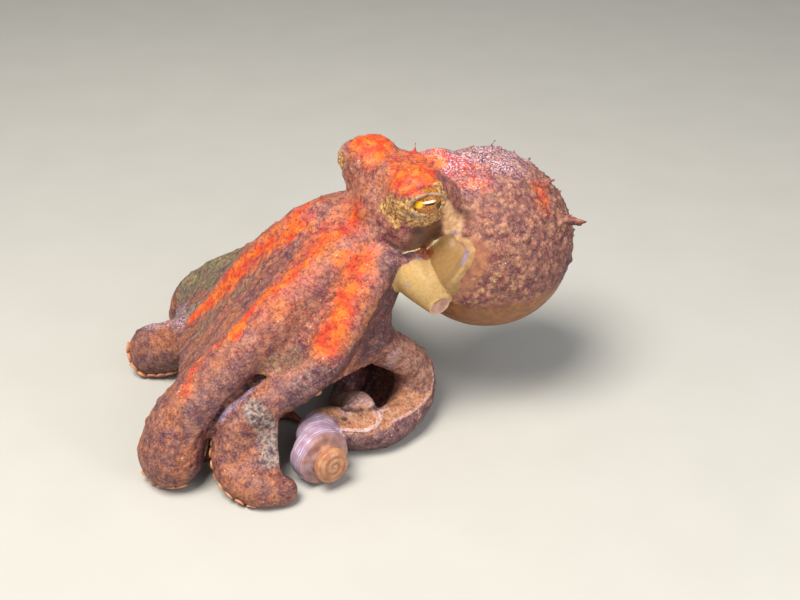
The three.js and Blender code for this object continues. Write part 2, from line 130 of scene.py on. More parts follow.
# The collar's pear shape: radii at distances down from its top
COLLAR_TOP_END = (15.1, 11.5, 70.0)
COLLAR_LOW_END = (19.6, 5.9, 48.2)
COLLAR_PROFILE = [
    [0.4, 0], [4.4, 1.2], [7.0, 4], [8.3, 8], [8.3, 12], [7.6, 15], [6.2, 18], [4.4, 20.5], [2.2, 22.2],
    [0.4, 22.9]]
ROLL_HUB = (14.5, -40.7, 9)
ROLL_FACE = (27.8, -40.2, 9)
ROLL_RADIUS = 9.1
ROLL_CORE_RADIUS = 6.0
ROLL_PITCH = 1.9                          # from one turn of the rolled end to the next
WEB_THICKNESS = 2.2
WEB_EDGE_THICKNESS = 1.1
WEB_LIFT = 0.66                           # part of an arm's half height that the web lies above its middle
FOLD_LIFT = 0.15                          # the same for the fold inside an arm's bend, which lies deeper
WEB_ARCH = 0.1                            # part of a web's length that an arch of 1 draws up

# An arm's path runs from the crown round the mouth to its end, in points of
# [x, y, z, half width, half height]. A tuck is the tip that lies under a rounded bend.
ARMS = {
    "left_1": [
        [4.6, -8, 67, 5.4, 5.4], [2.7, -21.2, 62, 6.4, 6], [0.6, -34.5, 54, 7, 6.4],
        [-1.2, -45.9, 44.8, 7.8, 6.8], [-3.4, -57.8, 34, 8.6, 7.2], [-5.2, -68, 25, 9.8, 8],
        [-6.4, -74.6, 16, 11, 9.2], [-6.2, -77, 9.2, 11.6, 10]],
    "left_2": [
        [10, -8, 64, 5.2, 5.2], [10.3, -16.5, 55, 6, 5.6], [9.6, -23.5, 44.5, 6.6, 5.8],
        [8.8, -32.8, 34, 7.6, 6], [8, -42, 29, 7.8, 6], [7.1, -52, 25, 7.4, 6],
        [6.4, -60, 19, 6.6, 6], [7.2, -63.8, 11, 6.3, 6], [13, -63.8, 6, 6.2, 5.8],
        [19.6, -59.6, 5.2, 5.8, 5.6], [22.4, -55, 4.2, 4.6, 4.6]],
    "left_3": [
        [9, -5, 61, 5.2, 5.2], [7, -10.6, 51, 5.8, 5.6], [6, -11.9, 42, 6, 5.8],
        [5.6, -11.6, 34, 6.2, 6], [6.2, -8.4, 28.6, 6.4, 6.2], [7.4, -3, 24.4, 6.6, 6.4],
        [7.4, 2.2, 17.4, 6.7, 6.5], [9.2, 1.4, 9.4, 6.8, 6.8], [14.6, -8.6, 6.2, 6.7, 6.6],
        [15.6, -17.6, 6, 6.5, 6.4], [12.8, -25, 7.2, 6.2, 6.2], [9.4, -30.4, 9.6, 5.8, 5.8],
        [10.4, -35, 12, 5.3, 5.3], [14, -40, 13, 5, 5]],
    "left_4": [
        [5, 0, 60, 5, 5], [0.5, -3, 48, 5.4, 5.4], [-4, -5, 36, 5.6, 5.6],
        [-8.5, -6, 24, 5.5, 5.5], [-11, -8.5, 12.5, 5.2, 5.2], [-10, -12.5, 4.6, 4.9, 5],
        [-5.4, -16.6, 4.2, 4.5, 4.6], [1, -18.4, 7.6, 4.2, 4.2], [6.4, -19, 10.8, 4.7, 4.7],
        [11, -20.6, 12, 5.3, 5.3]],
    "right_1": [
        [-4.4, -7, 70.5, 5.4, 5.4], [-15.8, -16.5, 67, 6.2, 5.8], [-25, -24, 58, 6.8, 6],
        [-34, -31.5, 46, 7.2, 6.2], [-41, -37.4, 33, 7.6, 6.6], [-47.5, -42.8, 21.5, 8, 7.2],
        [-56, -49.5, 13, 8.8, 8.2], [-64.4, -56.2, 8.2, 9.4, 9]],
    "right_2": [
        [-10, -3.6, 70, 5.2, 5.2], [-24, -9.2, 63.6, 6, 5.6], [-39, -15.2, 50.6, 6.4, 5.8],
        [-56, -22.1, 35.6, 6.6, 5.8], [-71.7, -28.5, 24.6, 6.6, 5.8], [-82.6, -33, 14, 6.4, 5.8],
        [-86.4, -34.8, 4.6, 6.2, 5.8]],
    "right_3": [
        [-9, 0.4, 66, 5, 5], [-22, 5, 53, 5.8, 5.6], [-38, 13, 36, 6.2, 5.8],
        [-52, 22, 18, 6.2, 5.8], [-60, 28, 5.2, 5.8, 5.8], [-68, 29, 4.4, 4.8, 4.8],
        [-74, 24, 3.7, 4.1, 4.1], [-73.4, 16, 3, 3.4, 3.4], [-67, 12, 2.3, 2.6, 2.6],
        [-62, 14, 1.6, 1.6, 1.8]],
    "right_4": [
        [-4, 2.8, 61, 5, 5], [-11, 2.8, 47, 5.6, 5.6], [-19, 4, 31, 5.8, 5.8],
        [-27, 9, 15, 5.8, 5.8], [-32.4, 13.4, 5.2, 5.6, 5.6], [-39.4, 16.4, 4.4, 4.8, 4.8],
        [-46.4, 14, 3.7, 4.1, 4.1], [-48, 7, 3, 3.4, 3.4], [-43, 2, 2.3, 2.6, 2.6],
        [-38, 3, 1.6, 1.6, 1.8]],
}
TUCKS = {
    "left_1": [
        [-7.4, -72, 6, 4, 4], [-9, -62, 3.6, 4, 4], [-13.4, -53, 3.4, 3.6, 3.6], [-16, -43, 3, 3.1, 3.1],
        [-13, -34.4, 2.6, 2.4, 2.4], [-7, -32, 1.8, 1.4, 1.6]],
    "right_1": [
        [-61, -51, 5, 4, 4], [-52, -40, 3.4, 3.8, 3.8], [-43, -34, 3.2, 3.4, 3.4], [-33, -31, 2.8, 3, 3],
        [-25, -34, 2.4, 2.2, 2.2], [-24, -40, 1.8, 1.4, 1.6]],
    "right_2": [
        [-84, -33, 4, 3.8, 3.8], [-77, -29, 3.5, 3.8, 3.8], [-66, -21, 3.4, 3.6, 3.6],
        [-54, -14, 3, 3.1, 3.1], [-45, -15, 2.6, 2.4, 2.4], [-42, -21, 1.8, 1.4, 1.6]],
}
# A web joins two arms, from a point number on each one's path to another. Its free edge is
# drawn up in the middle by its arch.
WEBS = {
    "front": {"arms": ("right_1", "left_1"), "from": (0.1, 0.1), "to": (6, 5.2), "arch": 0.3},
    "left_1_2": {"arms": ("left_1", "left_2"), "from": (0.1, 0.1), "to": (3.9, 4.1), "arch": 0},
    "left_2_3": {"arms": ("left_2", "left_3"), "from": (0.1, 0.1), "to": (6, 4.4), "arch": 0.4},
    "left_2_fold": {"arms": ("left_2", "left_2"), "from": (4.5, 10), "to": (6.9, 7.7), "arch": 0,
                    "lift": FOLD_LIFT},
    "left_3_4": {"arms": ("left_3", "left_4"), "from": (0.1, 0.1), "to": (7.5, 5.3), "arch": 0},
    "back": {"arms": ("left_4", "right_4"), "from": (0.1, 0.1), "to": (2.5, 2.3), "arch": 0.3},
    "right_4_3": {"arms": ("right_4", "right_3"), "from": (0.1, 0.1), "to": (2.8, 2.7), "arch": 0.5},
    "right_3_2": {"arms": ("right_3", "right_2"), "from": (0.1, 0.1), "to": (3.1, 3.6), "arch": 0.6},
    "right_2_1": {"arms": ("right_2", "right_1"), "from": (0.1, 0.1), "to": (5.3, 6.2), "arch": 0.3},
}


# ---- numbers ----
def unit(vector):
    vector = np.asarray(vector, float)
    return vector / np.linalg.norm(vector, axis=-1, keepdims=True)


def rise(value, low, high):
    """0 below low, 1 above high and smooth between. With low above high it falls instead."""
    part = np.clip((value - low) / (high - low), 0, 1)
    return part * part * (3 - 2 * part)


def lattice(cells, seed):
    """A fixed number from 0 to 1 for each whole-numbered cell of space."""
    mixed = (seed + 1) * 39916801
    for axis, prime in enumerate((73856093, 19349663, 83492791)):
        mixed = mixed ^ cells[..., axis] * prime
    mixed = (mixed ^ (mixed >> 13)) * 1274126177
    mixed = (mixed ^ (mixed >> 16)) & 0xFFFFFF
    return mixed / 0xFFFFFF


def clouds(points, size, seed=0):
    """Smooth blotches from -1 to 1, about `size` across."""
    spot = points / size
    cell = np.floor(spot).astype(np.int64)
    part = spot - cell
    part = part * part * (3 - 2 * part)
    total = np.zeros(len(points))
    for corner in np.ndindex(2, 2, 2):
        weight = np.prod(np.where(corner, part, 1 - part), axis=1)
        total += weight * lattice(cell + corner, seed)
    return total * 2 - 1


def pebbles(points, size, seed=0):
    """Distances from each point to its nearest and next nearest of scattered centres, in pebble widths."""
    spot = points / size
    cell = np.floor(spot).astype(np.int64)
    nearest = np.full(len(points), 9.0)
    second = np.full(len(points), 9.0)
    for step in np.ndindex(3, 3, 3):
        other = cell + step - 1
        centre = other + np.stack([lattice(other, seed + axis) for axis in (11, 23, 37)], 1)
        away = np.linalg.norm(spot - centre, axis=1)
        second = np.minimum(second, np.maximum(nearest, away))
        nearest = np.minimum(nearest, away)
    return nearest, second


def turn_to(axis):
    """The rotation that brings +Y to an axis."""
    return Vector((0, 1, 0)).rotation_difference(Vector(axis)).to_matrix()


def circle(sides):
    return np.arange(sides) * 2 * math.pi / sides


def sums(steps):
    """The lengths up to each spot of a line, from the lengths of its steps."""
    return np.concatenate(((0,), np.cumsum(steps)))


def lobe_distance(points, lobe):
    """How far points lie outside an ellipsoid, in millimetres, about true near its surface."""
    local = (points - np.array(lobe["centre"])) @ np.array(turn_to(lobe["axis"]))
    length = np.linalg.norm(local, axis=1)
    scaled = np.linalg.norm(local / np.array(lobe["radii"]), axis=1)
    return length * (1 - 1 / np.maximum(scaled, 1e-6))


def line_distance(points, line):
    """How far points lie from a line drawn through a few spots."""
    line = np.asarray(line, float)
    best = np.full(len(points), 1e9)
    for start, end in zip(line[:-1], line[1:]):
        along = end - start
        part = np.clip((points - start) @ along / (along @ along), 0, 1)
        best = np.minimum(best, np.linalg.norm(points - start - part[:, None] * along, axis=1))
    return best


# ---- limbs ----
class Limb:
    """An arm's path, sampled closely, with its sideways and upward directions carried along it."""
    SPAN_STEPS = 12

    def __init__(self, points):
        points = np.array(points, float)
        path = points[:, :3]
        ends = np.vstack((2 * path[0] - path[1], path, 2 * path[-1] - path[-2]))
        centres = []
        for i in range(len(path) - 1):
            before, start, end, after = ends[i:i + 4]
            d0, d1, d2 = (np.linalg.norm(b - a) ** 0.5 for a, b in zip(ends[i:i + 3], ends[i + 1:i + 4]))
            out = ((start - before) / d0 - (end - before) / (d0 + d1) + (end - start) / d1) * d1
            into = ((end - start) / d1 - (after - start) / (d1 + d2) + (after - end) / d2) * d1
            for step in range(self.SPAN_STEPS):
                s = step / self.SPAN_STEPS
                bend = (3 * (end - start) - 2 * out - into) * s ** 2
                centres.append(start + out * s + bend + (2 * (start - end) + out + into) * s ** 3)
        centres.append(path[-1])
        self.centre = np.array(centres)
        self.at = np.arange(len(centres)) / self.SPAN_STEPS
        self.last = len(path) - 1
        self.half = np.stack([np.interp(self.at, range(len(path)), points[:, k]) for k in (3, 4)], 1)
        self.tangent = unit(np.gradient(self.centre, axis=0))
        side = unit(np.cross(self.tangent[0], (0, 0, 1)))
        sides = []
        for tangent in self.tangent:
            side = unit(side - side @ tangent * tangent)
            sides.append(side)
        self.side = np.array(sides)
        self.up = np.cross(self.side, self.tangent)
        self.length = sums(np.linalg.norm(np.diff(self.centre, axis=0), axis=1))

    def look(self, table, at):
        return np.array([np.interp(at, self.at, column) for column in table.T])

    def surface(self, at, lean, out=1.0):
        """A spot on the arm's skin: lean 0 is its back, 90 its side and 180 its mouth side, in degrees."""
        width, height = self.look(self.half, at) * out
        turn = math.radians(lean)
        middle = self.look(self.centre, at)
        return middle + self.look(self.side, at) * width * math.sin(turn) \
            + self.look(self.up, at) * height * math.cos(turn)

    def normal(self, at, lean):
        turn = math.radians(lean)
        return unit(self.look(self.side, at) * math.sin(turn) + self.look(self.up, at) * math.cos(turn))


LIMBS = {name: Limb(points) for name, points in ARMS.items()}
TUCKED = {name: Limb(points) for name, points in TUCKS.items()}
SIPHON = Limb(SIPHON_PATH)
RIM = Limb(COLLAR_RIM)


# ---- meshes ----
def select_only(*pieces):
    bpy.ops.object.select_all(action="DESELECT")
    for piece in pieces:
        piece.select_set(True)
    bpy.context.view_layer.objects.active = pieces[0]


def place_of(points):
    """Millimetres from the spot under the eyes, as metres in the model's frame."""
    return (np.asarray(points, float) + EYE_SPOT) * MM


def piece_from(name, points, faces):
    mesh = bpy.data.meshes.new(name)
    mesh.from_pydata(place_of(points).tolist(), [], faces)
    piece = bpy.data.objects.new(name, mesh)
    bpy.context.collection.objects.link(piece)
    return piece


def spots(mesh):
    """A mesh's vertices in millimetres from the spot under the eyes."""
    flat = np.empty(len(mesh.vertices) * 3)
    mesh.vertices.foreach_get("co", flat)
    return flat.reshape(-1, 3) / MM - EYE_SPOT


def set_spots(mesh, points):
    mesh.vertices.foreach_set("co", place_of(points).ravel())
    mesh.update()


def kept_in_box(points, gap):
    """Points drawn back into the box round the solids."""
    low, high = (np.array(corner) / MM - EYE_SPOT for corner in CAD_BOX)
    return np.clip(points, low + gap, high - gap)


def normals_of(mesh):
    flat = np.empty(len(mesh.vertices) * 3)
    mesh.vertex_normals.foreach_get("vector", flat)
    return flat.reshape(-1, 3)


def rings_to_faces(rings, sides):
    """Faces of a closed tube of rings, with a flat lid on both ends."""
    faces = [list(range(sides))[::-1], [(rings - 1) * sides + i for i in range(sides)]]
    for r in range(rings - 1):
        for i in range(sides):
            a = r * sides + i
            b = r * sides + (i + 1) % sides
            faces.append([a, b, b + sides, a + sides])
    return faces


def ellipsoid(name, lobe, grow=0.0):
    bpy.ops.mesh.primitive_uv_sphere_add(segments=72, ring_count=48, radius=1)
    piece = bpy.context.object
    piece.name = name
    turn = turn_to(lobe["axis"]).to_4x4()
    radii = [(radius + grow) * MM for radius in lobe["radii"]]
    piece.data.transform(Matrix.Translation(place_of(lobe["centre"])) @ turn @ Matrix.Diagonal((*radii, 1)))
    return piece


def turned(name, profile, start, end, sides=40):
    """A turned solid from start towards end: the profile is a list of [radius, distance along]."""
    axis = unit(np.subtract(end, start))
    across = unit(np.cross(axis, (0.3, 0.2, 1)))
    third = np.cross(axis, across)
    angles = circle(sides)
    rings = [np.array(start) + axis * along + radius * (np.outer(np.cos(angles), across)
             + np.outer(np.sin(angles), third)) for radius, along in profile]
    return piece_from(name, np.vstack(rings), rings_to_faces(len(rings), sides))


def spout(name, limb, bore, depth):
    """A tube with a rounded rim and an open end, bored to a depth."""
    sides = 40
    angles = circle(sides)
    end = limb.length[-1]
    radius = limb.half[-1, 0]
    profile = [(along, half) for along, half in zip(limb.length, limb.half[:, 0])]
    profile += [(end + 0.35, radius * 0.96), (end + 0.45, (radius + bore) / 2), (end + 0.3, bore + 0.2),
                (end - 0.6, bore), (end - depth * 0.7, bore * 0.8), (end - depth, bore * 0.3)]
    rings = []
    for along, half in profile:
        at = np.interp(along, limb.length, limb.at)
        middle = limb.look(limb.centre, at) + limb.tangent[-1] * max(along - end, 0)
        rings.append(middle + half * (np.outer(np.cos(angles), limb.look(limb.side, at))
                                      + np.outer(np.sin(angles), limb.look(limb.up, at))))
    return piece_from(name, np.vstack(rings), rings_to_faces(len(rings), sides))


def spike(name, foot, point, radius, blunt):
    """A soft wart. Blunt is the share of its radius that its end keeps."""
    length = np.linalg.norm(np.subtract(point, foot))
    profile = [[0.4, -2.0], [radius * 1.3, -1.6], [radius, 0], [radius * (0.45 + blunt * 0.5), length * 0.35],
               [radius * (0.2 + blunt * 0.75), length * 0.7], [radius * blunt, length * 0.92], [0.12, length]]
    return turned(name, profile, foot, point, 16)


def tube(name, limb, grow, square=None, slim=None):
    """An arm with a domed end. Square is (from, to, power): there its section has flatter faces.
    Slim is (from, to, by how much): there it is narrower."""
    sides = 28
    angles = circle(sides)
    rings = []
    for i in range(len(limb.centre)):
        width, height = limb.half[i] + grow
        if slim:
            start, end, less = slim
            width -= less * rise(limb.at[i], start, start + 1) * rise(limb.at[i], end, end - 1)
        power = 2.0
        if square:
            start, end, most = square
            power += (most - 2) * rise(limb.at[i], start, start + 1) * rise(limb.at[i], end, end - 1)
        reach = (np.abs(np.cos(angles)) ** power + np.abs(np.sin(angles)) ** power) ** (-1 / power)
        reach *= 1 - 0.05 * (power - 2)
        rings.append(limb.centre[i] + np.outer(reach * np.cos(angles) * width, limb.side[i])
                     + np.outer(reach * np.sin(angles) * height, limb.up[i]))
    last = len(rings) - 1
    for turn in (0.35, 0.7, 1.0, 1.25, 1.45):
        dome = (rings[last] - limb.centre[-1]) * math.cos(turn) + limb.centre[-1]
        rings.append(dome + limb.tangent[-1] * (limb.half[-1][1] + grow) * math.sin(turn) * 0.95)
    return piece_from(name, np.vstack(rings), rings_to_faces(len(rings), sides))


def web_sheet(name, web):
    """A thin slab between two arms that grows thinner towards its free edge."""
    arms = [LIMBS[arm] for arm in web["arms"]]
    columns, rows = 12, 30

    def between_arms(table, s, t):
        ends = [limb.look(getattr(limb, table), start + (end - start) * t)
                for limb, start, end in zip(arms, web["from"], web["to"])]
        return ends[0] * (1 - s) + ends[1] * s

    def point_at(s, t):
        return between_arms("centre", s, t * (1 - WEB_ARCH * web["arch"] * math.sin(math.pi * s)))

    outer = []
    inner = []
    nudge = 0.01
    for row in range(rows + 1):
        for column in range(columns + 1):
            s = column / columns
            t = row / rows
            along = point_at(s, min(t + nudge, 1)) - point_at(s, max(t - nudge, 0))
            across = point_at(min(s + nudge, 1), t) - point_at(max(s - nudge, 0), t)
            normal = unit(np.cross(along, across))
            lift = web.get("lift", WEB_LIFT) * between_arms("half", s, t)[1]
            thin = rise(t, 0.75, 1.0)
            half = (WEB_THICKNESS * (1 - thin) + WEB_EDGE_THICKNESS * thin) / 2
            middle = point_at(s, t) + normal * lift
            outer.append(middle + normal * half)
            inner.append(middle - normal * half)
    wide = columns + 1
    under = len(outer)
    faces = []
    for row in range(rows):
        for column in range(columns):
            a = row * wide + column
            faces.append([a, a + 1, a + wide + 1, a + wide])
            faces.append([under + a, under + a + wide, under + a + wide + 1, under + a + 1])
    edge = list(range(columns)) + [row * wide + columns for row in range(rows)]
    edge += [rows * wide + column for column in range(columns, 0, -1)]
    edge += [row * wide for row in range(rows, 0, -1)]
    for a, b in zip(edge, edge[1:] + edge[:1]):
        faces.append([a, under + a, under + b, b])
    return piece_from(name, np.array(outer + inner), faces)


def weld(name, pieces, voxel):
    """Joins closed pieces into one closed skin on an even grid."""
    select_only(*pieces)
    bpy.ops.object.mode_set(mode="EDIT")
    bpy.ops.mesh.select_all(action="SELECT")
    bpy.ops.mesh.normals_make_consistent(inside=False)
    bpy.ops.object.mode_set(mode="OBJECT")
    bpy.ops.object.join()
    skin = bpy.context.object
    skin.name = name
    skin.data.name = name
    remesh = skin.modifiers.new("weld", "REMESH")
    remesh.mode = "VOXEL"
    remesh.voxel_size = voxel * MM
    bpy.ops.object.modifier_apply(modifier=remesh.name)
    return skin


def relax(mesh, points, weight, rounds):
    """Evens a skin out, each vertex moving to the middle of its neighbours by its weight."""
    pairs = np.empty(len(mesh.edges) * 2, np.int64)
    mesh.edges.foreach_get("vertices", pairs)
    a, b = pairs.reshape(-1, 2).T
    count = np.bincount(np.concatenate((a, b)), minlength=len(points))[:, None]
    for _ in range(rounds):
        total = np.stack([np.bincount(a, axis[b], len(axis)) + np.bincount(b, axis[a], len(axis))
                          for axis in points.T], 1)
        points = points + weight[:, None] * (total / count - points)
    return points


def fill_creases(mesh, weight, rounds):
    """Raises only the hollow places of a skin, so that its parts flow into each other."""
    for _ in range(max(rounds // 10, 1)):
        points = spots(mesh)
        normals = normals_of(mesh)
        outward = ((relax(mesh, points, weight, 10) - points) * normals).sum(1)
        set_spots(mesh, points + normals * np.maximum(outward, 0)[:, None])


# ---- where each part of the skin lies ----
def limb_places(points):
    """For each point its nearest arm's number, its place along that arm, and how far it lies over and
    outside it."""
    order = list(LIMBS.values()) + list(TUCKED.values())
    tree = KDTree(sum(len(limb.centre) for limb in order))
    owner = []
    for number, limb in enumerate(order):
        for i, centre in enumerate(limb.centre):
            tree.insert(centre, len(owner))
            owner.append((number, i))
    tree.balance()
    owner = np.array(owner)
    nearest = owner[[tree.find(point)[1] for point in points]]
    first = sums([len(limb.centre) for limb in order])
    row = first[nearest[:, 0]] + nearest[:, 1]
    centre, up, half = (np.vstack([getattr(limb, table) for limb in order])[row]
                        for table in ("centre", "up", "half"))
    offset = points - centre
    return {
        "arm": nearest[:, 0],
        "at": nearest[:, 1] / Limb.SPAN_STEPS,
        "over": (offset * up).sum(1) / half[:, 1],
        "away": np.linalg.norm(offset, axis=1) - half.mean(1),
        "up": up,
    }


ARM_NUMBER = {name: number for number, name in enumerate(ARMS)}


def eye_view(points, side):
    """Each point's angle from the gaze of an eye, in degrees, its direction round that gaze, and its distance
    from the middle of the mound."""
    mound = EYE_MOUNDS[side]
    gaze = unit(mound["gaze"])
    ahead = unit(np.array((0, -1, 0)) + gaze * gaze[1])
    above = np.cross(gaze, ahead) * (1 if side == "right" else -1)
    offset = points - np.array(mound["centre"])
    direction = unit(offset)
    angle = np.degrees(np.arccos(np.clip(direction @ gaze, -1, 1)))
    return {"angle": angle, "ahead": direction @ ahead, "above": direction @ above,
            "away": np.linalg.norm(offset, axis=1), "ahead_axis": ahead, "above_axis": above}


def lids_of(view):
    """Where points lie round the gap between the lids: 1 on its edge, with the parts ahead and up."""
    level = (view["ahead"] * view["away"] - EYE_OPENING_SHIFT[0]) / EYE_OPENING[0]
    upward = (view["above"] * view["away"] - EYE_OPENING_SHIFT[1]) / EYE_OPENING[1]
    return np.hypot(level, upward), level, upward


def roll_view(points):
    """Distances along the rolled end's axle, out from it, and the turn round it."""
    axle = unit(np.subtract(ROLL_FACE, ROLL_HUB))
    along = (points - np.array(ROLL_HUB)) @ axle
    offset = points - np.array(ROLL_HUB) - along[:, None] * axle
    turn = np.arctan2(offset[:, 2], offset @ unit(np.cross(axle, (0, 0, 1))))
    return along, np.linalg.norm(offset, axis=1), turn


def roll_spiral(points):
    """The uneven spiral on the rolled end's face, 1 on its crest and -1 in its groove."""
    _, radius, turn = roll_view(points)
    radius = radius + 0.4 * clouds(points, 4, 14)
    return np.cos(2 * math.pi * (radius / ROLL_PITCH - turn / (2 * math.pi)))


def streak(points, spots_along, width):
    """1 along the middle of a line of spots, fading to 0 at half its width."""
    return rise(line_distance(points, spots_along), width / 2, width * 0.2)


# Zones of the skin: first its parts, then its colours, then its textures
ZONE_NAMES = (
    "siphon", "siphon_tip", "rim", "collar", "amber", "mantle", "belly", "head", "oral", "roll", "flat",
    "web", "fleck", "rose", "frost", "dusky_and_shade", "gold", "shade", "lilac", "peach", "blaze", "olive", "violet_sheen_and_shade",
    "dark_and_shade", "cream", "rust", "brown", "tan", "grey", "pearl", "pale", "light", "copper", "blush",
    "smooth", "grain", "net", "stria", "swirl")
COLLAR_RIM_LINE = [spot[:3] for spot in COLLAR_RIM]
# Lines on the skin: the pale one behind the left eye, the cleft between head and mantle, the slit
# between the first two left arms and its near edge, the crease and rim of the small hump in the coil
# of the third left arm, that coil's outer rim and its navel, and the pale beads over the siphon
PEACH_LINE = ((22.1, 2.8, 78.9), (21, 4.7, 76.1), (20.7, 6.5, 73.5), (21.2, 8, 71.3))
CLEFT = ((0.6, 12, 85.5), (4.3, 16.8, 84.7), (8.6, 15.8, 83.3), (13.3, 13.8, 81.6), (18.6, 9.7, 80.4),
         (20.7, 6, 78))
SLIT = ((4.6, -51.6, 31.8), (3.5, -53.9, 30.8), (3.9, -56.5, 30), (4.1, -59, 29), (4.3, -61.4, 27.9),
        (4.1, -63.7, 26.3), (3.7, -65.6, 24.3), (3.3, -67.7, 20.7))
SLIT_EDGE = ((4.5, -49, 32), (5.2, -52.2, 31.1), (5.6, -55.8, 29.6), (5.3, -59, 27.9), (4.9, -62.2, 25.7),
             (4.6, -64.9, 23.1))
HUMP_CREASE = ((10.4, -26.6, 14.1), (11.3, -25.2, 14.3), (12.8, -23.6, 14.1), (13.9, -21.8, 14.4),
               (14.5, -19.6, 14.2), (14.2, -16.8, 13.3), (12.4, -15, 12.2))
HUMP_RIM = ((15.7, -17.1, 12.7), (17.8, -17.4, 11.5), (19, -20.1, 10.7), (18.7, -23.6, 10.4),
            (17.2, -26.9, 11), (15.5, -30.2, 11.7))
COIL_RIM = ((12.7, 5, 19.9), (13.4, 5.7, 15.4), (15.2, 3.7, 11.7), (17.3, -0.6, 10.8), (18.6, -5.4, 10.4),
            (19.1, -10.3, 10), (19.4, -14.4, 10.1))
NAVEL = ((12.8, -28.2, 13), (13.3, -27.5, 13))
BEADS_FRONT = ((14.7, -7, 64.9), (15.8, -5.6, 65.6), (16.6, -4.1, 65.8), (17.3, -3.1, 66.4))
BEADS_REAR = ((15.8, 0.9, 64.6), (16.7, 2, 66), (18, 3.2, 67.8))
# Folds and hollows of the skin: height, width, and the spots that each runs through
FOLDS = (
    (-1.3, 2.6, SLIT),
    (-0.9, 2.2, HUMP_CREASE),
    (0.45, 1.8, HUMP_RIM),
    (0.4, 1.8, COIL_RIM),
    (-0.6, 1.6, NAVEL),
    (0.4, 1.4, BEADS_FRONT),
    (0.4, 1.4, BEADS_REAR),
    (0.5, 1.7, ((23.2, 0.6, 85), (23.3, 1.3, 81.6), (22.4, 1.4, 78), (20.8, 0.6, 75))),
    (0.4, 1.7, ((21.8, 3.4, 85), (22, 4, 81.6), (21.2, 4.2, 78))),
)
FINE_STROKE = 5                           # strokes narrower than this keep an even edge
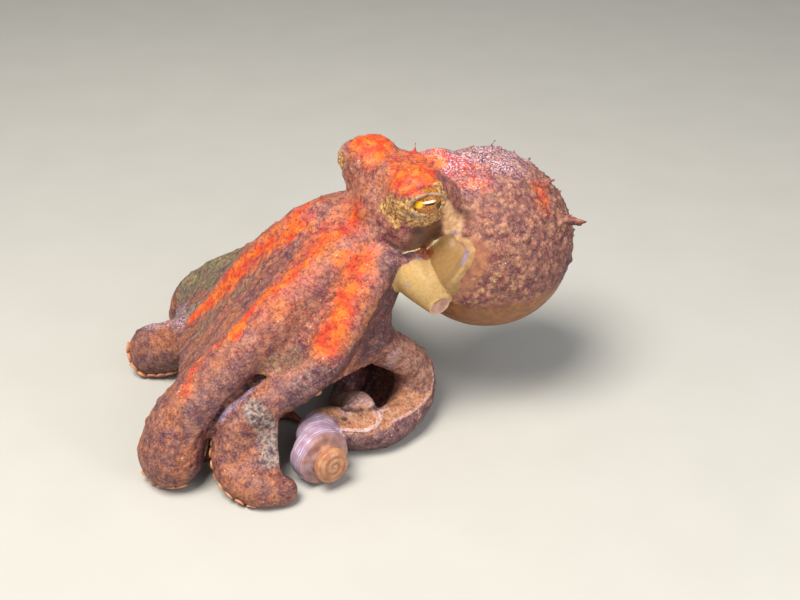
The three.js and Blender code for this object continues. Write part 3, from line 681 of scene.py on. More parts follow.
# Lines of colour on the skin, by zone: strength, width, and the spots that each runs through
STROKES = {
    "blaze": (
        (0.8, 6, (-16, -17, 72), (-18.7, -18.9, 71), (-20.7, -23.5, 68.1)),
        (1.0, 8.5, (-16.2, -24.1, 66.3), (-20.5, -28.3, 60.7), (-25.3, -32.3, 55.7), (-29.9, -35.8, 51.2),
         (-33.4, -39.5, 43.3), (-40, -44, 35.4), (-46.6, -47.2, 28)),
        (0.85, 9.5, (-1, -12.9, 72.2), (-1.7, -16.5, 69.8), (-3, -21.6, 67), (0.5, -27.3, 65.2)),
        (0.9, 7, (1, -32.5, 62.4), (0.5, -37, 59.6), (-0.5, -41.6, 56.3), (-2.9, -46.2, 52.7),
         (-2.6, -50.5, 49.2), (-2, -54.3, 46.1)),
        (0.6, 6, (-4.3, -58, 42.8), (-9, -61, 38), (-6.8, -67.8, 34.8), (-2.7, -71.6, 32.2)),
        (1.0, 10, (9.3, -16.3, 63.7), (8.8, -19.5, 61.3), (9.9, -22.5, 57.4), (10.3, -25.2, 52.2),
         (11.4, -29.1, 46.6), (11.9, -33.2, 41.4)),
        (0.7, 7, (7.5, -22.4, 65.7), (7.5, -24.9, 64.2)),
        (1.0, 17, (15.8, -4.2, 89.5), (14, -6, 90)),
        (0.8, 10, (10, -9, 86.6), (8, -8.6, 88)),
        (1.0, 19, (-6.5, -2.5, 91), (-10, -2, 92)),
        (1.0, 11, (3, 15, 85), (9, 16.4, 83.8), (12, 18, 83.6)),
        (0.7, 9, (27.7, 35.7, 73.8), (23.6, 37, 76.8)),
        (0.4, 19, (-1, -13, 72), (-3, -21.6, 67), (0.5, -32, 62), (-1, -44, 52)),
        (0.45, 17, (-16, -22, 67), (-25, -32, 56), (-36, -42, 40)),
        (0.45, 17, (9.3, -16.3, 63.7), (10.3, -25.2, 52.2), (11.9, -33.2, 41.4)),
        (0.6, 17, (12.9, -5.1, 89.3), (4, 3, 88), (0.6, 10.9, 85.5), (6.9, 15.6, 83.4), (14, 19, 83)),
    ),
    "dusky_and_shade": (
        # dusky purple patches, partly painted shade on the flanks of the arms
        (0.8, 13, (13, -6, 66), (15.3, -9.5, 62.9), (12.9, -9.3, 54.1), (12.2, -9.9, 47.1),
         (11.7, -11.1, 41.3)),
        (1.0, 10, (11.8, -11.6, 42.2), (11.6, -16.2, 39.5), (13.5, -22.5, 38.1), (16.2, -28.8, 37.7)),
        (0.6, 15, (5.6, -54.4, 38.8), (4.8, -59.2, 35), (4.4, -64.1, 31.5), (3.1, -71.8, 26.9)),
        (0.55, 12, (-7.1, -29, 63.1), (-10.1, -34.4, 58.4), (-10.8, -40.4, 53.2), (-13.9, -44.9, 48)),
        (0.55, 14, (-63.8, -60.9, 16), (-56.5, -61.2, 9.9)),
        (0.9, 14, (16.2, -28.8, 36.7), (15.8, -33.8, 34.8), (15.4, -38.4, 32.1), (15.2, -43.9, 29.2)),
    ),
    "olive": (
        (1.0, 22, (-53, -32, 36), (-60, -28.9, 36), (-68.4, -32.9, 29.6), (-75.2, -36.2, 22.3)),
        (0.9, 13, (-34, -31, 52), (-44, -31, 45), (-55.2, -35.6, 31.3)),
        (0.55, 11, (-20.2, -39.8, 48.7), (-28.2, -43.1, 40.7), (-31.3, -47.4, 34), (-32, -51, 29.8)),
        (0.5, 9, (6, -49, 37), (7.4, -44, 37.5), (9.1, -38.1, 40), (13, -36.1, 38)),
    ),
    "grey": (
        (1.0, 11, (11.5, -56.6, 26.6), (12.8, -55.6, 22.3), (14.4, -54.6, 18), (17.2, -55.4, 13)),
        (0.9, 9, (-66, -48.7, 17.5), (-60, -46.5, 22), (-54, -45, 26)),
    ),
    "dark_and_shade": (
        # painted shade in the slit between the first two left arms, the crease under the hump and the coil's
        # navel
        (1.0, 3.2, *SLIT),
        (0.58, 3.6, *HUMP_CREASE),
        (0.6, 2.4, *NAVEL),
        (1.0, 3.4, (-81.4, -34.8, 22.3), (-81.8, -34.9, 22)),
    ),
    "pearl": (
        (1.0, 1.7, *HUMP_RIM),
        (1.0, 14, (8, -23.4, 15), (9.8, -21.6, 16.8), (11.4, -19, 16.7), (13.4, -17.4, 15.4)),
        (0.6, 1.8, *COIL_RIM),
    ),
    "violet_sheen_and_shade": (
        (0.5, 4, (12.2, -8.2, 29.7), (11.2, -10.1, 25.1), (10.6, -9, 21)),
        (0.9, 3, *SLIT_EDGE),
        # painted highlights along the edges of the ends of the first arms
        (0.8, 6, (-12, -78, 22), (-17, -76, 12), (-15, -82, 8)),
        (0.8, 6, (-66, -44, 20), (-74, -50, 14), (-77, -56, 9)),
        # painted shade just inside the collar's rim
        (0.7, 3, (25, 8.6, 65), (24.6, 7.2, 61.6)),
        (0.7, 2.6, (19.4, 6.2, 70.2), (21.6, 7.6, 70)),
        (0.6, 4, (16.8, -4.6, 58.4), (16.6, -6.4, 55)),
        (0.6, 3, (15.8, -2.6, 62.8), (16.2, -1.2, 62.6)),
    ),
    "tan": (
        (0.7, 6, (11.3, -9.2, 68.3), (15.5, -11.5, 61), (12.4, -11.9, 49.5)),
    ),
    "frost": (
        (0.8, 10, (-52, -50, 24), (-58, -52, 21), (-65, -56, 18)),
        (0.8, 2.4, (-12.6, -9.6, 78.8), (-10.6, -10.4, 77.8)),
        (0.8, 15, (-1.1, 17.1, 86.7), (2, 18.5, 86.1), (2.6, 27.3, 84.9), (8.3, 27.8, 85.1),
         (14.5, 28.6, 83.8)),
    ),
    "gold": (
        (0.9, 6, (10.3, -9.9, 80.9), (11.1, -10.4, 78.8), (12.9, -10.3, 77.3), (15.8, -9.5, 76)),
        (0.9, 6, (12.6, -10.4, 82.4), (14.4, -10.6, 79.8), (16.4, -9.8, 77)),
        (0.7, 5, (21.5, 0.2, 87.1), (23.6, 0.4, 84.8), (22.9, 1.8, 81), (22.8, 0.5, 78.5)),
    ),
    "blush": (
        (1.0, 9, (19.6, 2, 46), (17.4, 1.2, 46.6), (15.4, -0.6, 49)),
    ),
    "light": (
        (1.0, 8, *PEACH_LINE),
    ),
    "cream": (
        (1.0, 1.3, *BEADS_FRONT),
        (1.0, 1.2, *BEADS_REAR),
    ),
    "rust": (
        (1.0, 4, (16, -1.8, 64.5), (16.1, 0.3, 62.3), (16.5, 1.5, 64.1)),
    ),
}


def limb_near(points, limb):
    """For each point its place along one limb, and how far it lies outside it."""
    best = np.full(len(points), 1e9)
    at = np.zeros(len(points))
    for place, centre in zip(limb.at, limb.centre):
        away = np.linalg.norm(points - centre, axis=1)
        at = np.where(away < best, place, at)
        best = np.minimum(best, away)
    return at, best - np.interp(at, limb.at, limb.half[:, 0])


def zones(points, normals):
    """Masks from 0 to about 1 that say where each colour and texture of the skin lies."""
    # Edges of colour are judged at spots that wander about, so that they come out ragged
    wander = np.stack([clouds(points, 7, seed) for seed in (1, 2, 3)], 1) * 1.6
    wander += np.stack([clouds(points, 2.6, seed) for seed in (4, 5, 6)], 1) * 0.9
    moved = points + wander
    arm = limb_places(points)
    z = {name: np.zeros(len(points)) for name in ZONE_NAMES}

    def add(name, mask):
        z[name] = np.maximum(z[name], mask)

    def on_arm(name, low, high):
        """1 on an arm beyond its point number high and 0 before low, or the other way round."""
        return (arm["arm"] == ARM_NUMBER[name]) * rise(arm["at"], low, high)

    # The siphon and its collar
    tube_at, tube_away = limb_near(points, SIPHON)
    siphon = rise(tube_away, 0.9, 0.4) * rise(tube_at, 0.3, 0.8)
    tip_offset = points - SIPHON.centre[-1]
    tip_along = tip_offset @ SIPHON.tangent[-1]
    tip_radius = np.linalg.norm(tip_offset - tip_along[:, None] * SIPHON.tangent[-1], axis=1)
    z["siphon"] = siphon
    z["siphon_tip"] = siphon * rise(tip_radius, 3.6, 3.2) * rise(tip_along, -3.4, -2.4)
    z["rim"] = rise(limb_near(points, RIM)[1], 0.7, 0.2) * (1 - siphon)
    collar = np.maximum(rise(lobe_distance(points, COLLAR), 1.2, 0.5),
                        rise(lobe_distance(points, COLLAR_TOP), 0.9, 0.3))
    collar *= rise(lobe_distance(points, MANTLE), -0.3, 0.3)
    z["collar"] = np.maximum(collar, z["rim"]) * (1 - siphon)
    z["amber"] = np.maximum(siphon, z["collar"])
    bare = 1 - z["amber"]
    # The mantle: smooth gold below, frosted on top, and darkened at the rear as painted shade
    mantle = rise(lobe_distance(points, MANTLE), 2.6, 0.8) * bare
    altitude = moved[:, 2]
    z["mantle"] = mantle
    z["belly"] = mantle * rise(altitude, 49.5, 43)
    z["fleck"] = mantle * rise(altitude, 46, 48.5) * rise(altitude, 61, 55) * rise(points[:, 1], 34, 22)
    z["rose"] = mantle * rise(line_distance(moved, COLLAR_RIM_LINE), 9, 4) * rise(points[:, 2], 71, 66)
    z["copper"] = mantle * rise(moved[:, 1], 27, 15) * rise(altitude, 52, 60) * rise(altitude, 80, 72)
    z["frost"] = rise(altitude + 4 * clouds(points, 8, 7), 77, 87) * mantle * rise(normals[:, 2], 0.1, 0.6)
    # Painted shade: the mantle darkens towards its rear and underside
    rear = (moved - np.array(MANTLE_CENTRE)) @ unit((0.5, 0.62, -0.5))
    z["dusky_and_shade"] = mantle * rise(rear, 18, 27) * (1 - z["belly"])
    # What is left is head or limbs
    flesh = (1 - mantle) * bare
    is_arm = rise(arm["away"], 5.0, 2.5) * flesh
    head = rise(lobe_distance(points, SKULL), 2.5, 1.0)
    for lobe in HEAD_FILLS.values():
        head = np.maximum(head, rise(lobe_distance(points, lobe), 2.5, 1.0))
    for side in EYE_MOUNDS:
        head = np.maximum(head, rise(eye_view(points, side)["away"], TURRET_RADIUS + 2.5, TURRET_RADIUS + 1))
    z["head"] = head * flesh
    limbs = flesh * (1 - z["head"])
    # The mouth sides of the arms, coloured far darker than their own paler skin as painted shade under the
    # body
    z["oral"] = rise((normals * arm["up"]).sum(1), -0.05, -0.5) * limbs
    for side in EYE_MOUNDS:
        view = eye_view(points, side)
        # The gold round an eye ends in scallops, at this angle from the gaze
        round_gaze = np.arctan2(view["above"], view["ahead"])
        scallop = 51 + 14 * np.cos(round_gaze) + 4 * np.sin(round_gaze) + 5 * np.abs(np.sin(round_gaze * 5.5))
        near = rise(view["away"], TURRET_RADIUS + 3, TURRET_RADIUS + 1.5)
        add("gold", near * rise(view["above"], 0.4, 0.05) * rise(view["angle"], scallop + 2, scallop - 2))
        below = rise(view["above"], -0.3, -0.5) * rise(view["angle"], scallop - 1, scallop + 3)
        add("shade", rise(view["away"], 20, 15) * below * rise(points[:, 2], 63, 66)
            * rise(points[:, 1], -9, -5) * bare)
        # Pale lids, wider above than below, with painted shade as a dark line along their edge, in the hollow
        # round the eye
        ring, level, upward = lids_of(view)
        lid = near * rise(view["angle"], 75, 60)
        upper = rise(upward, 0.3, 0.7) * rise(ring, 1.7, 1.5)
        lower = rise(upward, -0.3, -0.7) * rise(level, 0.0, 0.5) * rise(ring, 2.2, 1.8)
        add("pale", lid * rise(ring, 1.0, 1.1) * np.maximum(upper, lower * 0.8))
        add("dark_and_shade", lid * rise(ring, 1.08, 0.98))
    # The coiled ends lie on their sides, and the roots of the rear arms are darkened as painted shade
    for name, start in (("left_3", 3.0), ("left_4", 6.4)):
        z["oral"] *= 1 - on_arm(name, start, start + 0.8)
    for name, end in (("left_3", 3.9), ("left_4", 6.4), ("right_4", 3), ("right_3", 1)):
        add("dusky_and_shade", on_arm(name, end, end - 1) * is_arm * (1 - z["head"]))
    # The rolled end: a lilac drum with a peach face
    near_roll = rise(line_distance(points, (ROLL_HUB, ROLL_FACE)), ROLL_RADIUS + 2, ROLL_RADIUS + 0.6)
    z["roll"] = near_roll
    along = roll_view(points)[0]
    face = rise(along, 9.0, 9.8)
    z["lilac"] = near_roll * rise(along + 1.2 * clouds(points, 3, 8), 9.0, 5.5)
    # painted shade in the groove of the spiral on the rolled end's face
    z["swirl"] = near_roll * rise(along, 11.6, 12.4) * rise(roll_spiral(points), -0.2, -0.8)
    # The coil of the third left arm: peach on its flat top, and painted shade round its side, below the brink
    third = (arm["arm"] == ARM_NUMBER["left_3"]) * is_arm * (1 - near_roll)
    z["flat"] = third * rise(arm["at"], 5.6, 6.6)
    z["tan"] = np.maximum(third * rise(arm["at"], 3.4, 4.2), near_roll * (1 - face))
    add("dusky_and_shade", third * rise(arm["at"], 6.8, 7.8) * rise(normals[:, 2], 0.5, 0.25))
    brink = np.interp(arm["at"], (6.3, 8.4, 9.6), (-0.8, -0.05, -0.5))
    below = rise(arm["over"], brink + 0.06, brink - 0.1)
    add("dusky_and_shade", third * rise(arm["at"], 6.0, 6.6) * below)
    third = third * rise(arm["at"], 5.8, 7.2) * rise(normals[:, 2], 0.5, 0.7) * (1 - z["dusky_and_shade"])
    fourth = on_arm("left_4", 6.4, 7.2) * is_arm
    z["peach"] = np.maximum(near_roll * face, np.maximum(third, fourth))
    z["brown"] = rise(moved[:, 2] + 6 * clouds(points, 11, 9), 46, 26) * limbs
    uneven = 1 + 0.3 * clouds(points, 2.4, 10) + 0.2 * clouds(points, 1.2, 12)
    for name, strokes in STROKES.items():
        for strength, width, *line in strokes:
            stroke = streak(points if width < FINE_STROKE else moved, line, width) * strength
            add(name, stroke * (uneven if name == "blaze" else 1))
    # Where colours meet, the stronger one keeps the place
    z["blaze"] *= (1 - z["oral"] * rise(z["head"], 1, 0.5)) * bare
    z["olive"] *= (1 - z["blaze"]) * (1 - z["head"])
    z["dusky_and_shade"] *= (1 - z["blaze"]) * bare
    z["brown"] *= 1 - z["blaze"] * 0.7
    z["shade"] *= 1 - streak(points, PEACH_LINE, 9)
    for name in ("frost", "peach", "rose", "shade", "dark_and_shade", "tan", "grey", "pale", "gold", "light"):
        z[name] *= bare
    z["smooth"] = np.clip(z["amber"] + z["belly"] * 0.9 + z["shade"] + z["rose"] * 0.8 + z["oral"] * 0.4
                          + z["light"] * 0.8 + near_roll, 0, 1)
    rays = unit(points - np.array(CROWN["centre"]))
    z["stria"] = np.clip(0.5 + clouds(rays, 0.045, 71) * 0.7 + clouds(rays, 0.018, 72) * 0.5, 0, 1)
    z["web"] = rise(arm["away"], 0.6, 2.2) * limbs * (1 - near_roll)
    z["grain"] = rise(pebbles(points, 2.1, 41)[0], 0.62, 0.12)
    nearest, second = pebbles(moved, 3.3, 61)
    z["net"] = rise(second - nearest, 0.2, 0.04)
    return z


# ---- the skin ----
def small_warts():
    """Pointed warts spread evenly over the mantle, kept on its top and rear: as in PAPILLAE."""
    turn = np.array(turn_to(MANTLE_AXIS))
    warts = []
    for i in range(SMALL_WARTS):
        level = 1 - 2 * (i + 0.5) / SMALL_WARTS
        around = i * GOLDEN_ANGLE
        ring = math.sqrt(1 - level * level)
        direction = np.array((ring * math.cos(around), level, ring * math.sin(around)))
        foot = np.array(MANTLE_CENTRE) + turn @ (direction * MANTLE["radii"])
        outward = unit(turn @ (direction / MANTLE["radii"]))
        size = 0.6 + 0.4 * lattice(np.array((i, 3, 5)), 1)
        if outward[2] > 0.1 and foot[1] > 22:
            warts.append((foot, foot + outward * SMALL_WART_HEIGHT * size, SMALL_WART_RADIUS * size, 0.25))
    return warts


def arm_warts():
    """Smaller ones, scattered along the backs of the arms."""
    warts = []
    for number, limb in enumerate(LIMBS.values()):
        for i in range(ARM_WARTS):
            at = 0.8 + (min(limb.last - 1.5, 5.4) - 0.8) * i / (ARM_WARTS - 1)
            lean = 32 * math.sin(i * 2.4 + number)
            size = 0.6 + 0.4 * lattice(np.array((i, number, 9)), 2)
            foot = limb.surface(at, lean, 0.96)
            point = foot + limb.normal(at, lean) * ARM_WART_HEIGHT * size
            warts.append((foot, point, ARM_WART_RADIUS * size, 0.3))
    return warts


WARTS = list(PAPILLAE) + small_warts() + arm_warts()


def near_warts(points):
    """1 on the warts and 0 away from them."""
    tree = KDTree(len(WARTS) * 3)
    reach = []
    for foot, point, radius, _ in WARTS:
        for part in (0, 0.5, 1):
            tree.insert(np.array(foot) * (1 - part) + np.array(point) * part, len(reach))
            reach.append(radius)
    tree.balance()
    number, away = np.array([tree.find(point)[1:] for point in points]).T
    radius = np.array(reach)[number.astype(int)]
    return rise(away, radius + 1.2, radius + 0.4)


def build_skin():
    pieces = [
        ellipsoid("mantle_form", MANTLE, -0.1),
        ellipsoid("skull_form", SKULL),
        ellipsoid("crown_form", CROWN),
        turned("collar_form", COLLAR_PROFILE, COLLAR_TOP_END, COLLAR_LOW_END, 60),
        ellipsoid("collar_top_form", COLLAR_TOP),
    ]
    for part, lobe in HEAD_FILLS.items():
        pieces.append(ellipsoid(f"{part}_form", lobe))
    for side, mound in EYE_MOUNDS.items():
        ball = {"centre": mound["centre"], "radii": (TURRET_RADIUS - 0.1,) * 3, "axis": (0, 1, 0)}
        pieces.append(ellipsoid(f"turret_{side}", ball))
    pieces.append(spout("siphon_form", SIPHON, SIPHON_BORE, SIPHON_BORE_DEPTH))
    pieces.append(tube("collar_rim_form", RIM, 0))
    for foot, point, radius, blunt in WARTS:
        pieces.append(spike("wart_form", foot, point, radius, blunt))
    length = np.linalg.norm(np.subtract(ROLL_FACE, ROLL_HUB))
    drum, core = ROLL_RADIUS, ROLL_CORE_RADIUS
    profile = [[0.4, 0], [drum * 0.75, 0], [drum * 0.96, 1.2], [drum, 3.2], [drum, 6], [drum * 0.96, 7.4],
               [drum * 0.85, 8.3], [core * 0.84, 8.2], [core * 0.84, 9.4], [core, 10.4], [core, length - 1.8],
               [core * 0.86, length - 0.5], [0.4, length - 0.1]]
    pieces.append(turned("roll_form", profile, ROLL_HUB, ROLL_FACE, 60))
    for name, limb in LIMBS.items():
        square = (6.6, 12.0, 4.0) if name == "left_3" else None
        slim = (3.8, 8.6, 0.7) if name == "left_2" else None
        pieces.append(tube(f"form_{name}", limb, 0.2, square, slim))
    for name, limb in TUCKED.items():
        pieces.append(tube(f"form_{name}_tuck", limb, 0.0))
    for name, web in WEBS.items():
        pieces.append(web_sheet(f"form_web_{name}", web))
    skin = weld("octopus_skin", pieces, VOXEL)
    mesh = skin.data
    points = spots(mesh)
    masks = zones(points, normals_of(mesh))
    # Rounds of smoothing are for the fine grid, and a coarse grid needs fewer
    fine = (FINE_VOXEL / VOXEL) ** 2
    points = relax(mesh, points, np.full(len(points), 0.5), round(3 * fine) + 1)
    firm = near_warts(points) * 0.85
    for zone, share in (("siphon", 0.8), ("rim", 1), ("collar", 0.4), ("flat", 0.9), ("roll", 0.8)):
        firm += masks[zone] * share
    blend = np.clip(1 - firm - masks["mantle"] * 0.3, 0, 1) * 0.5
    points = relax(mesh, points, blend, round(26 * fine))
    set_spots(mesh, points)
    softly = np.clip(0.3 + 0.7 * masks["head"] + streak(points, CLEFT, 20), 0, 1) * rise(points[:, 2], 4, 10)
    softly *= (1 - streak(points, HUMP_CREASE, 9)) * (1 - streak(points, SLIT, 9))
    fill_creases(mesh, softly * np.clip(1 - firm, 0, 1) * 0.5, round(140 * fine))
    return skin


def sculpt(skin):
    """Gives the welded skin its pebbles, folds, wrinkles and lids."""
    mesh = skin.data
    points = spots(mesh)
    normals = normals_of(mesh)
    masks = zones(points, normals)
    rough = 1 - masks["smooth"]
    # Heights are in millimetres. The skin first sinks a little, to make room for what rises.
    lift = np.full(len(points), -0.3)
    lift += clouds(points, 9, 31) * 0.35 * rough
    lift += clouds(points, 4, 32) * 0.22 * rough
    body = np.clip(masks["mantle"] + masks["head"], 0, 1)
    lift += masks["grain"] * (0.1 + 0.18 * body) * rough * (1 - masks["flat"] * 0.6)
    wart = rise(pebbles(points, 5.2, 51)[0], 0.34, 0.05)
    lift += wart * 0.75 * rough * (0.6 + 0.4 * masks["mantle"]) * (1 - masks["web"] * 0.7)
    lift -= masks["net"] * 0.3 * masks["mantle"] * rough
    lift += masks["fleck"] * rise(pebbles(points, 3.0, 91)[0], 0.35, 0.2) * 0.2
    lift += (masks["stria"] - 0.5) * 0.5 * masks["web"] * rough
    for height, width, line in FOLDS:
        lift += height * streak(points, line, width)
    for side in EYE_MOUNDS:
        view = eye_view(points, side)
        near = rise(view["away"], TURRET_RADIUS + 2.5, TURRET_RADIUS + 1) * rise(view["angle"], 75, 60)
        ring, _, upward = lids_of(view)
        lift = lift * (1 - near * rise(ring, 2.6, 1.6))
        brow = np.sign(upward) * rise(np.abs(upward), 0.2, 0.9)
        lid = np.exp(-((ring - 1.3) / 0.24) ** 2) * (0.9 + 0.45 * brow)
        fold = np.exp(-((ring - 2.5) / 0.3) ** 2) * 0.35 * rise(upward, -0.6, 0.4)
        groove = np.exp(-((ring - 1.95) / 0.2) ** 2) * 0.45
        hollow = rise(ring, 1.1, 0.9) * 2.4
        lift += near * (lid + fold - groove - hollow)
    # Fine grooves round the collar's rim and the siphon's root
    rim_away = limb_near(points, RIM)[1]
    lift -= np.exp(-((rim_away - 1.0) / 0.6) ** 2) * 0.25 * (1 - masks["siphon"])
    tube_away = limb_near(points, SIPHON)[1]
    lift -= rise(tube_away, 1.4, 0.6) * rise(tube_away, 0.0, 0.4) * 0.4 * (1 - masks["siphon"])
    # The spiral on the rolled end's face and the wrinkles round its drum
    along = roll_view(points)[0]
    lift += masks["roll"] * rise(along, 11.4, 12.4) * roll_spiral(points) * 0.25
    bands = np.cos(along * 2 * math.pi / 2.6 + clouds(points, 5, 81) * 2.5)
    lift += masks["roll"] * rise(along, 9.2, 8.4) * bands * 0.14
    set_spots(mesh, kept_in_box(points + normals * lift[:, None], SKIN_GAP))


def thin_out(skin, triangles):
    """Collapses the flattest faces until the skin has the given number of triangles."""
    mesh = skin.data
    mesh.calc_loop_triangles()
    ratio = triangles / len(mesh.loop_triangles)
    if ratio < 1:
        select_only(skin)
        thin = skin.modifiers.new("thin", "DECIMATE")
        thin.ratio = ratio
        bpy.ops.object.modifier_apply(modifier=thin.name)


def write_zones(skin):
    mesh = skin.data
    masks = zones(spots(mesh), normals_of(mesh))
    for name in ZONE_NAMES:
        layer = mesh.attributes.new(name, "FLOAT", "POINT")
        layer.data.foreach_set("value", masks[name].astype(np.float32))


# ---- materials ----
def linear(code):
    """An sRGB hex colour as a linear one."""
    parts = [int(code[i:i + 2], 16) / 255 for i in (1, 3, 5)]
    return tuple(p / 12.92 if p <= 0.04045 else ((p + 0.055) / 1.055) ** 2.4 for p in parts) + (1.0,)


def per_mm(size):
    """The Scale of a pattern in object coordinates whose features are `size` millimetres across."""
    return 1 / (size * MM)


def add_node(tree, kind, inputs=None, **settings):
    """A shader node with its settings. An input is a value, or the socket that it is linked from."""
    made = tree.nodes.new(f"ShaderNode{kind}")
    for key, value in settings.items():
        setattr(made, key, value)
    for key, value in (inputs or {}).items():
        if isinstance(value, bpy.types.NodeSocket):
            tree.links.new(value, made.inputs[key])
        else:
            made.inputs[key].default_value = value
    return made


def new_material(name):
    material = bpy.data.materials.new(name)
    material.use_nodes = True
    tree = material.node_tree
    tree.nodes.clear()
    return material, tree


# Layers of colour on the skin, from the lowest up: the zone, its two colours, the size of the
# blotches that mix them, how much of the zone's edge the grain eats, how soft that edge is, and
# how strongly the layer covers.
COAT = (
    ("brown", "#5a3c46", "#966450", 3.4, 0.8, 0.8, 0.9),
    ("tan", "#7c564c", "#ac8270", 2.6, 0.7, 0.6, 0.9),
    ("mantle", "#88544e", "#b08266", 3.0, 0.5, 0.5, 0.85),
    ("copper", "#9c5e42", "#bc8460", 3.0, 0.8, 0.8, 0.35),
    ("olive", "#72805a", "#5c5048", 2.4, 0.8, 0.6, 0.85),
    ("grey", "#54484c", "#98928a", 1.8, 0.8, 0.6, 0.9),
    # dusky purple, much of it painted shade
    ("dusky_and_shade", "#402c3a", "#6a5258", 2.4, 0.7, 0.6, 0.88),
    # the mouth sides, dark as painted shade
    ("oral", "#3a1d24", "#56303a", 3.0, 0.3, 0.4, 0.85),
    ("rose", "#94604a", "#aa7250", 2.0, 0.5, 0.6, 0.7),
    ("belly", "#7a4c22", "#946234", 2.4, 0.5, 0.4, 0.92),
    ("peach", "#a66e4e", "#c49470", 2.4, 0.5, 0.4, 0.88),
    ("pearl", "#c08c82", "#e8c8c2", 1.4, 0.5, 0.5, 0.94),
    ("blaze", "#dc3c14", "#f67a1a", 4.0, 1.0, 1.0, 0.94),
    ("gold", "#7c5436", "#e6b468", 1.0, 0.7, 0.5, 0.92),
    ("shade", "#432819", "#664028", 3.5, 0.4, 0.6, 0.95),
    ("pale", "#7c6450", "#c8b498", 0.7, 0.9, 0.6, 0.55),
    ("light", "#d89e6c", "#f0c698", 1.4, 0.6, 0.8, 1.0),
    ("amber", "#9a7645", "#a67e50", 0.8, 0.2, 0.3, 1.0),
    ("siphon", "#bd975c", "#c7a46d", 0.8, 0.2, 0.3, 0.85),
    ("blush", "#b08462", "#c69c7e", 0.9, 0.3, 0.8, 0.6),
    ("siphon_tip", "#c69a86", "#dcb8a4", 2.0, 0.1, 0.3, 0.95),
    ("rim", "#a67e4e", "#ba9468", 2.0, 0.1, 0.3, 0.9),
    # violet grey, partly painted highlight and painted shade
    ("violet_sheen_and_shade", "#7a6a84", "#a092b4", 1.6, 0.7, 0.6, 0.75),
    ("rust", "#8a4422", "#a45a30", 1.5, 0.3, 0.4, 0.9),
    ("cream", "#e8d29a", "#fff0c8", 1.0, 0.8, 0.3, 0.95),
    # near black: painted shade in the slit, the creases and round the eyes
    ("dark_and_shade", "#1c1014", "#2c181c", 1.0, 0.1, 0.3, 0.95),
)
# The patterns on the skin: kind, size in millimetres and detail. Those under a millimetre stand for
# the animal's colour cells, which are finer than can show.
PATTERNS = {
    "speckle": ("TexNoise", 0.9, 3.0),
    "beads": ("TexVoronoi", 0.8, 0.0),
    "ground": ("TexNoise", 9.0, 3.0),
    "mottle": ("TexNoise", 2.6, 4.0),
    "patches": ("TexNoise", 8.0, 2.0),
    "bends": ("TexNoise", 5.0, 2.0),
    "breaks": ("TexNoise", 3.0, 3.0),
    "fields": ("TexNoise", 12.0, 2.0),
    "warts": ("TexVoronoi", 2.4, 0.0),
    "wart_groups": ("TexNoise", 6.0, 2.0),
    "pepper": ("TexNoise", 0.7, 2.0),
    "painted_glints": ("TexVoronoi", 1.9, 0.0),
    "painted_glint_groups": ("TexNoise", 4.0, 2.0),
    "snow": ("TexNoise", 0.55, 2.0),
}
# Layers of one colour, from the lowest up. After its colour a layer has the parts of its mask, which
# are multiplied: a number, a zone or pattern, or one of them with the values that it fades between,
# and then what it fades from and to where those aren't 0 and 1.
GROUND = "#74404a"
UNDER_COAT = (
    ("#9c5a48", ("ground", 0.4, 0.62)),
    ("#b07c66", ("mottle", 0.42, 0.62, 0.0, 0.6)),
)
OCHRE_PATCHES = (
    ("#a8643e", ("patches", 0.5, 0.62, 0.0, 0.6), ("mantle", 0.0, 1.0, 1.0, 0.0)),
)
WEB_LINES = (
    ("#50303a", ("stria", 0.55, 0.8), "web", 0.5),
)
OVER_COAT = (
    # painted shade in the groove of the rolled end's spiral
    ("#6a3c34", "swirl", 0.3),
    # tan cells on the mantle, with dark skin between them, and a dark net over them that is painted shade in
    # the skin's sunken creases
    ("#c48c5c", ("tiles", 0.36, 0.14), "mantle", "rough", ("fields", 0.42, 0.6), 0.4),
    ("#5a3240", ("tiles", 0.44, 0.62), "mantle", "rough", 0.5),
    ("#64363c", "net", "mantle", "rough", 0.5),
    # pale warts between the belly and the mantle's side
    ("#cda878", ("warts", 0.4, 0.22), "fleck", ("wart_groups", 0.5, 0.6), 0.75),
    # grains that are paler on top, with painted shade in the clefts between them
    ("#d39a78", "grain", ("speckle", 0.4, 0.6), "rough", ("blaze", 0.2, 0.8, 0.36, 0.06)),
    ("#401f28", ("grain", 0.3, 0.0), ("speckle", 0.6, 0.4), "rough", 0.5),
    # dark pepper, pale dust, painted glints of light, and the frost on top of the mantle
    ("#3c1c2a", ("pepper", 0.54, 0.64), "rough", 0.5),
    ("#dcaa94", ("beads", 0.3, 0.12), "rough", ("blaze", 0.3, 0.9, 0.3, 0.08)),
    ("#f4dcd4", ("painted_glints", 0.13, 0.05), "rough", ("painted_glint_groups", 0.5, 0.6, 0.0, 0.8)),
    ("#d8c0d6", ("snow", 0.48, 0.62), "frost", 0.85),
)
ROLL_BAND = 0.8                           # from one lilac band of the rolled end to the next
TILE = 2.9                                # from one cell of the mantle's skin to the next
TILE_WARP = 1.2                           # how far the cells' outlines are pulled about


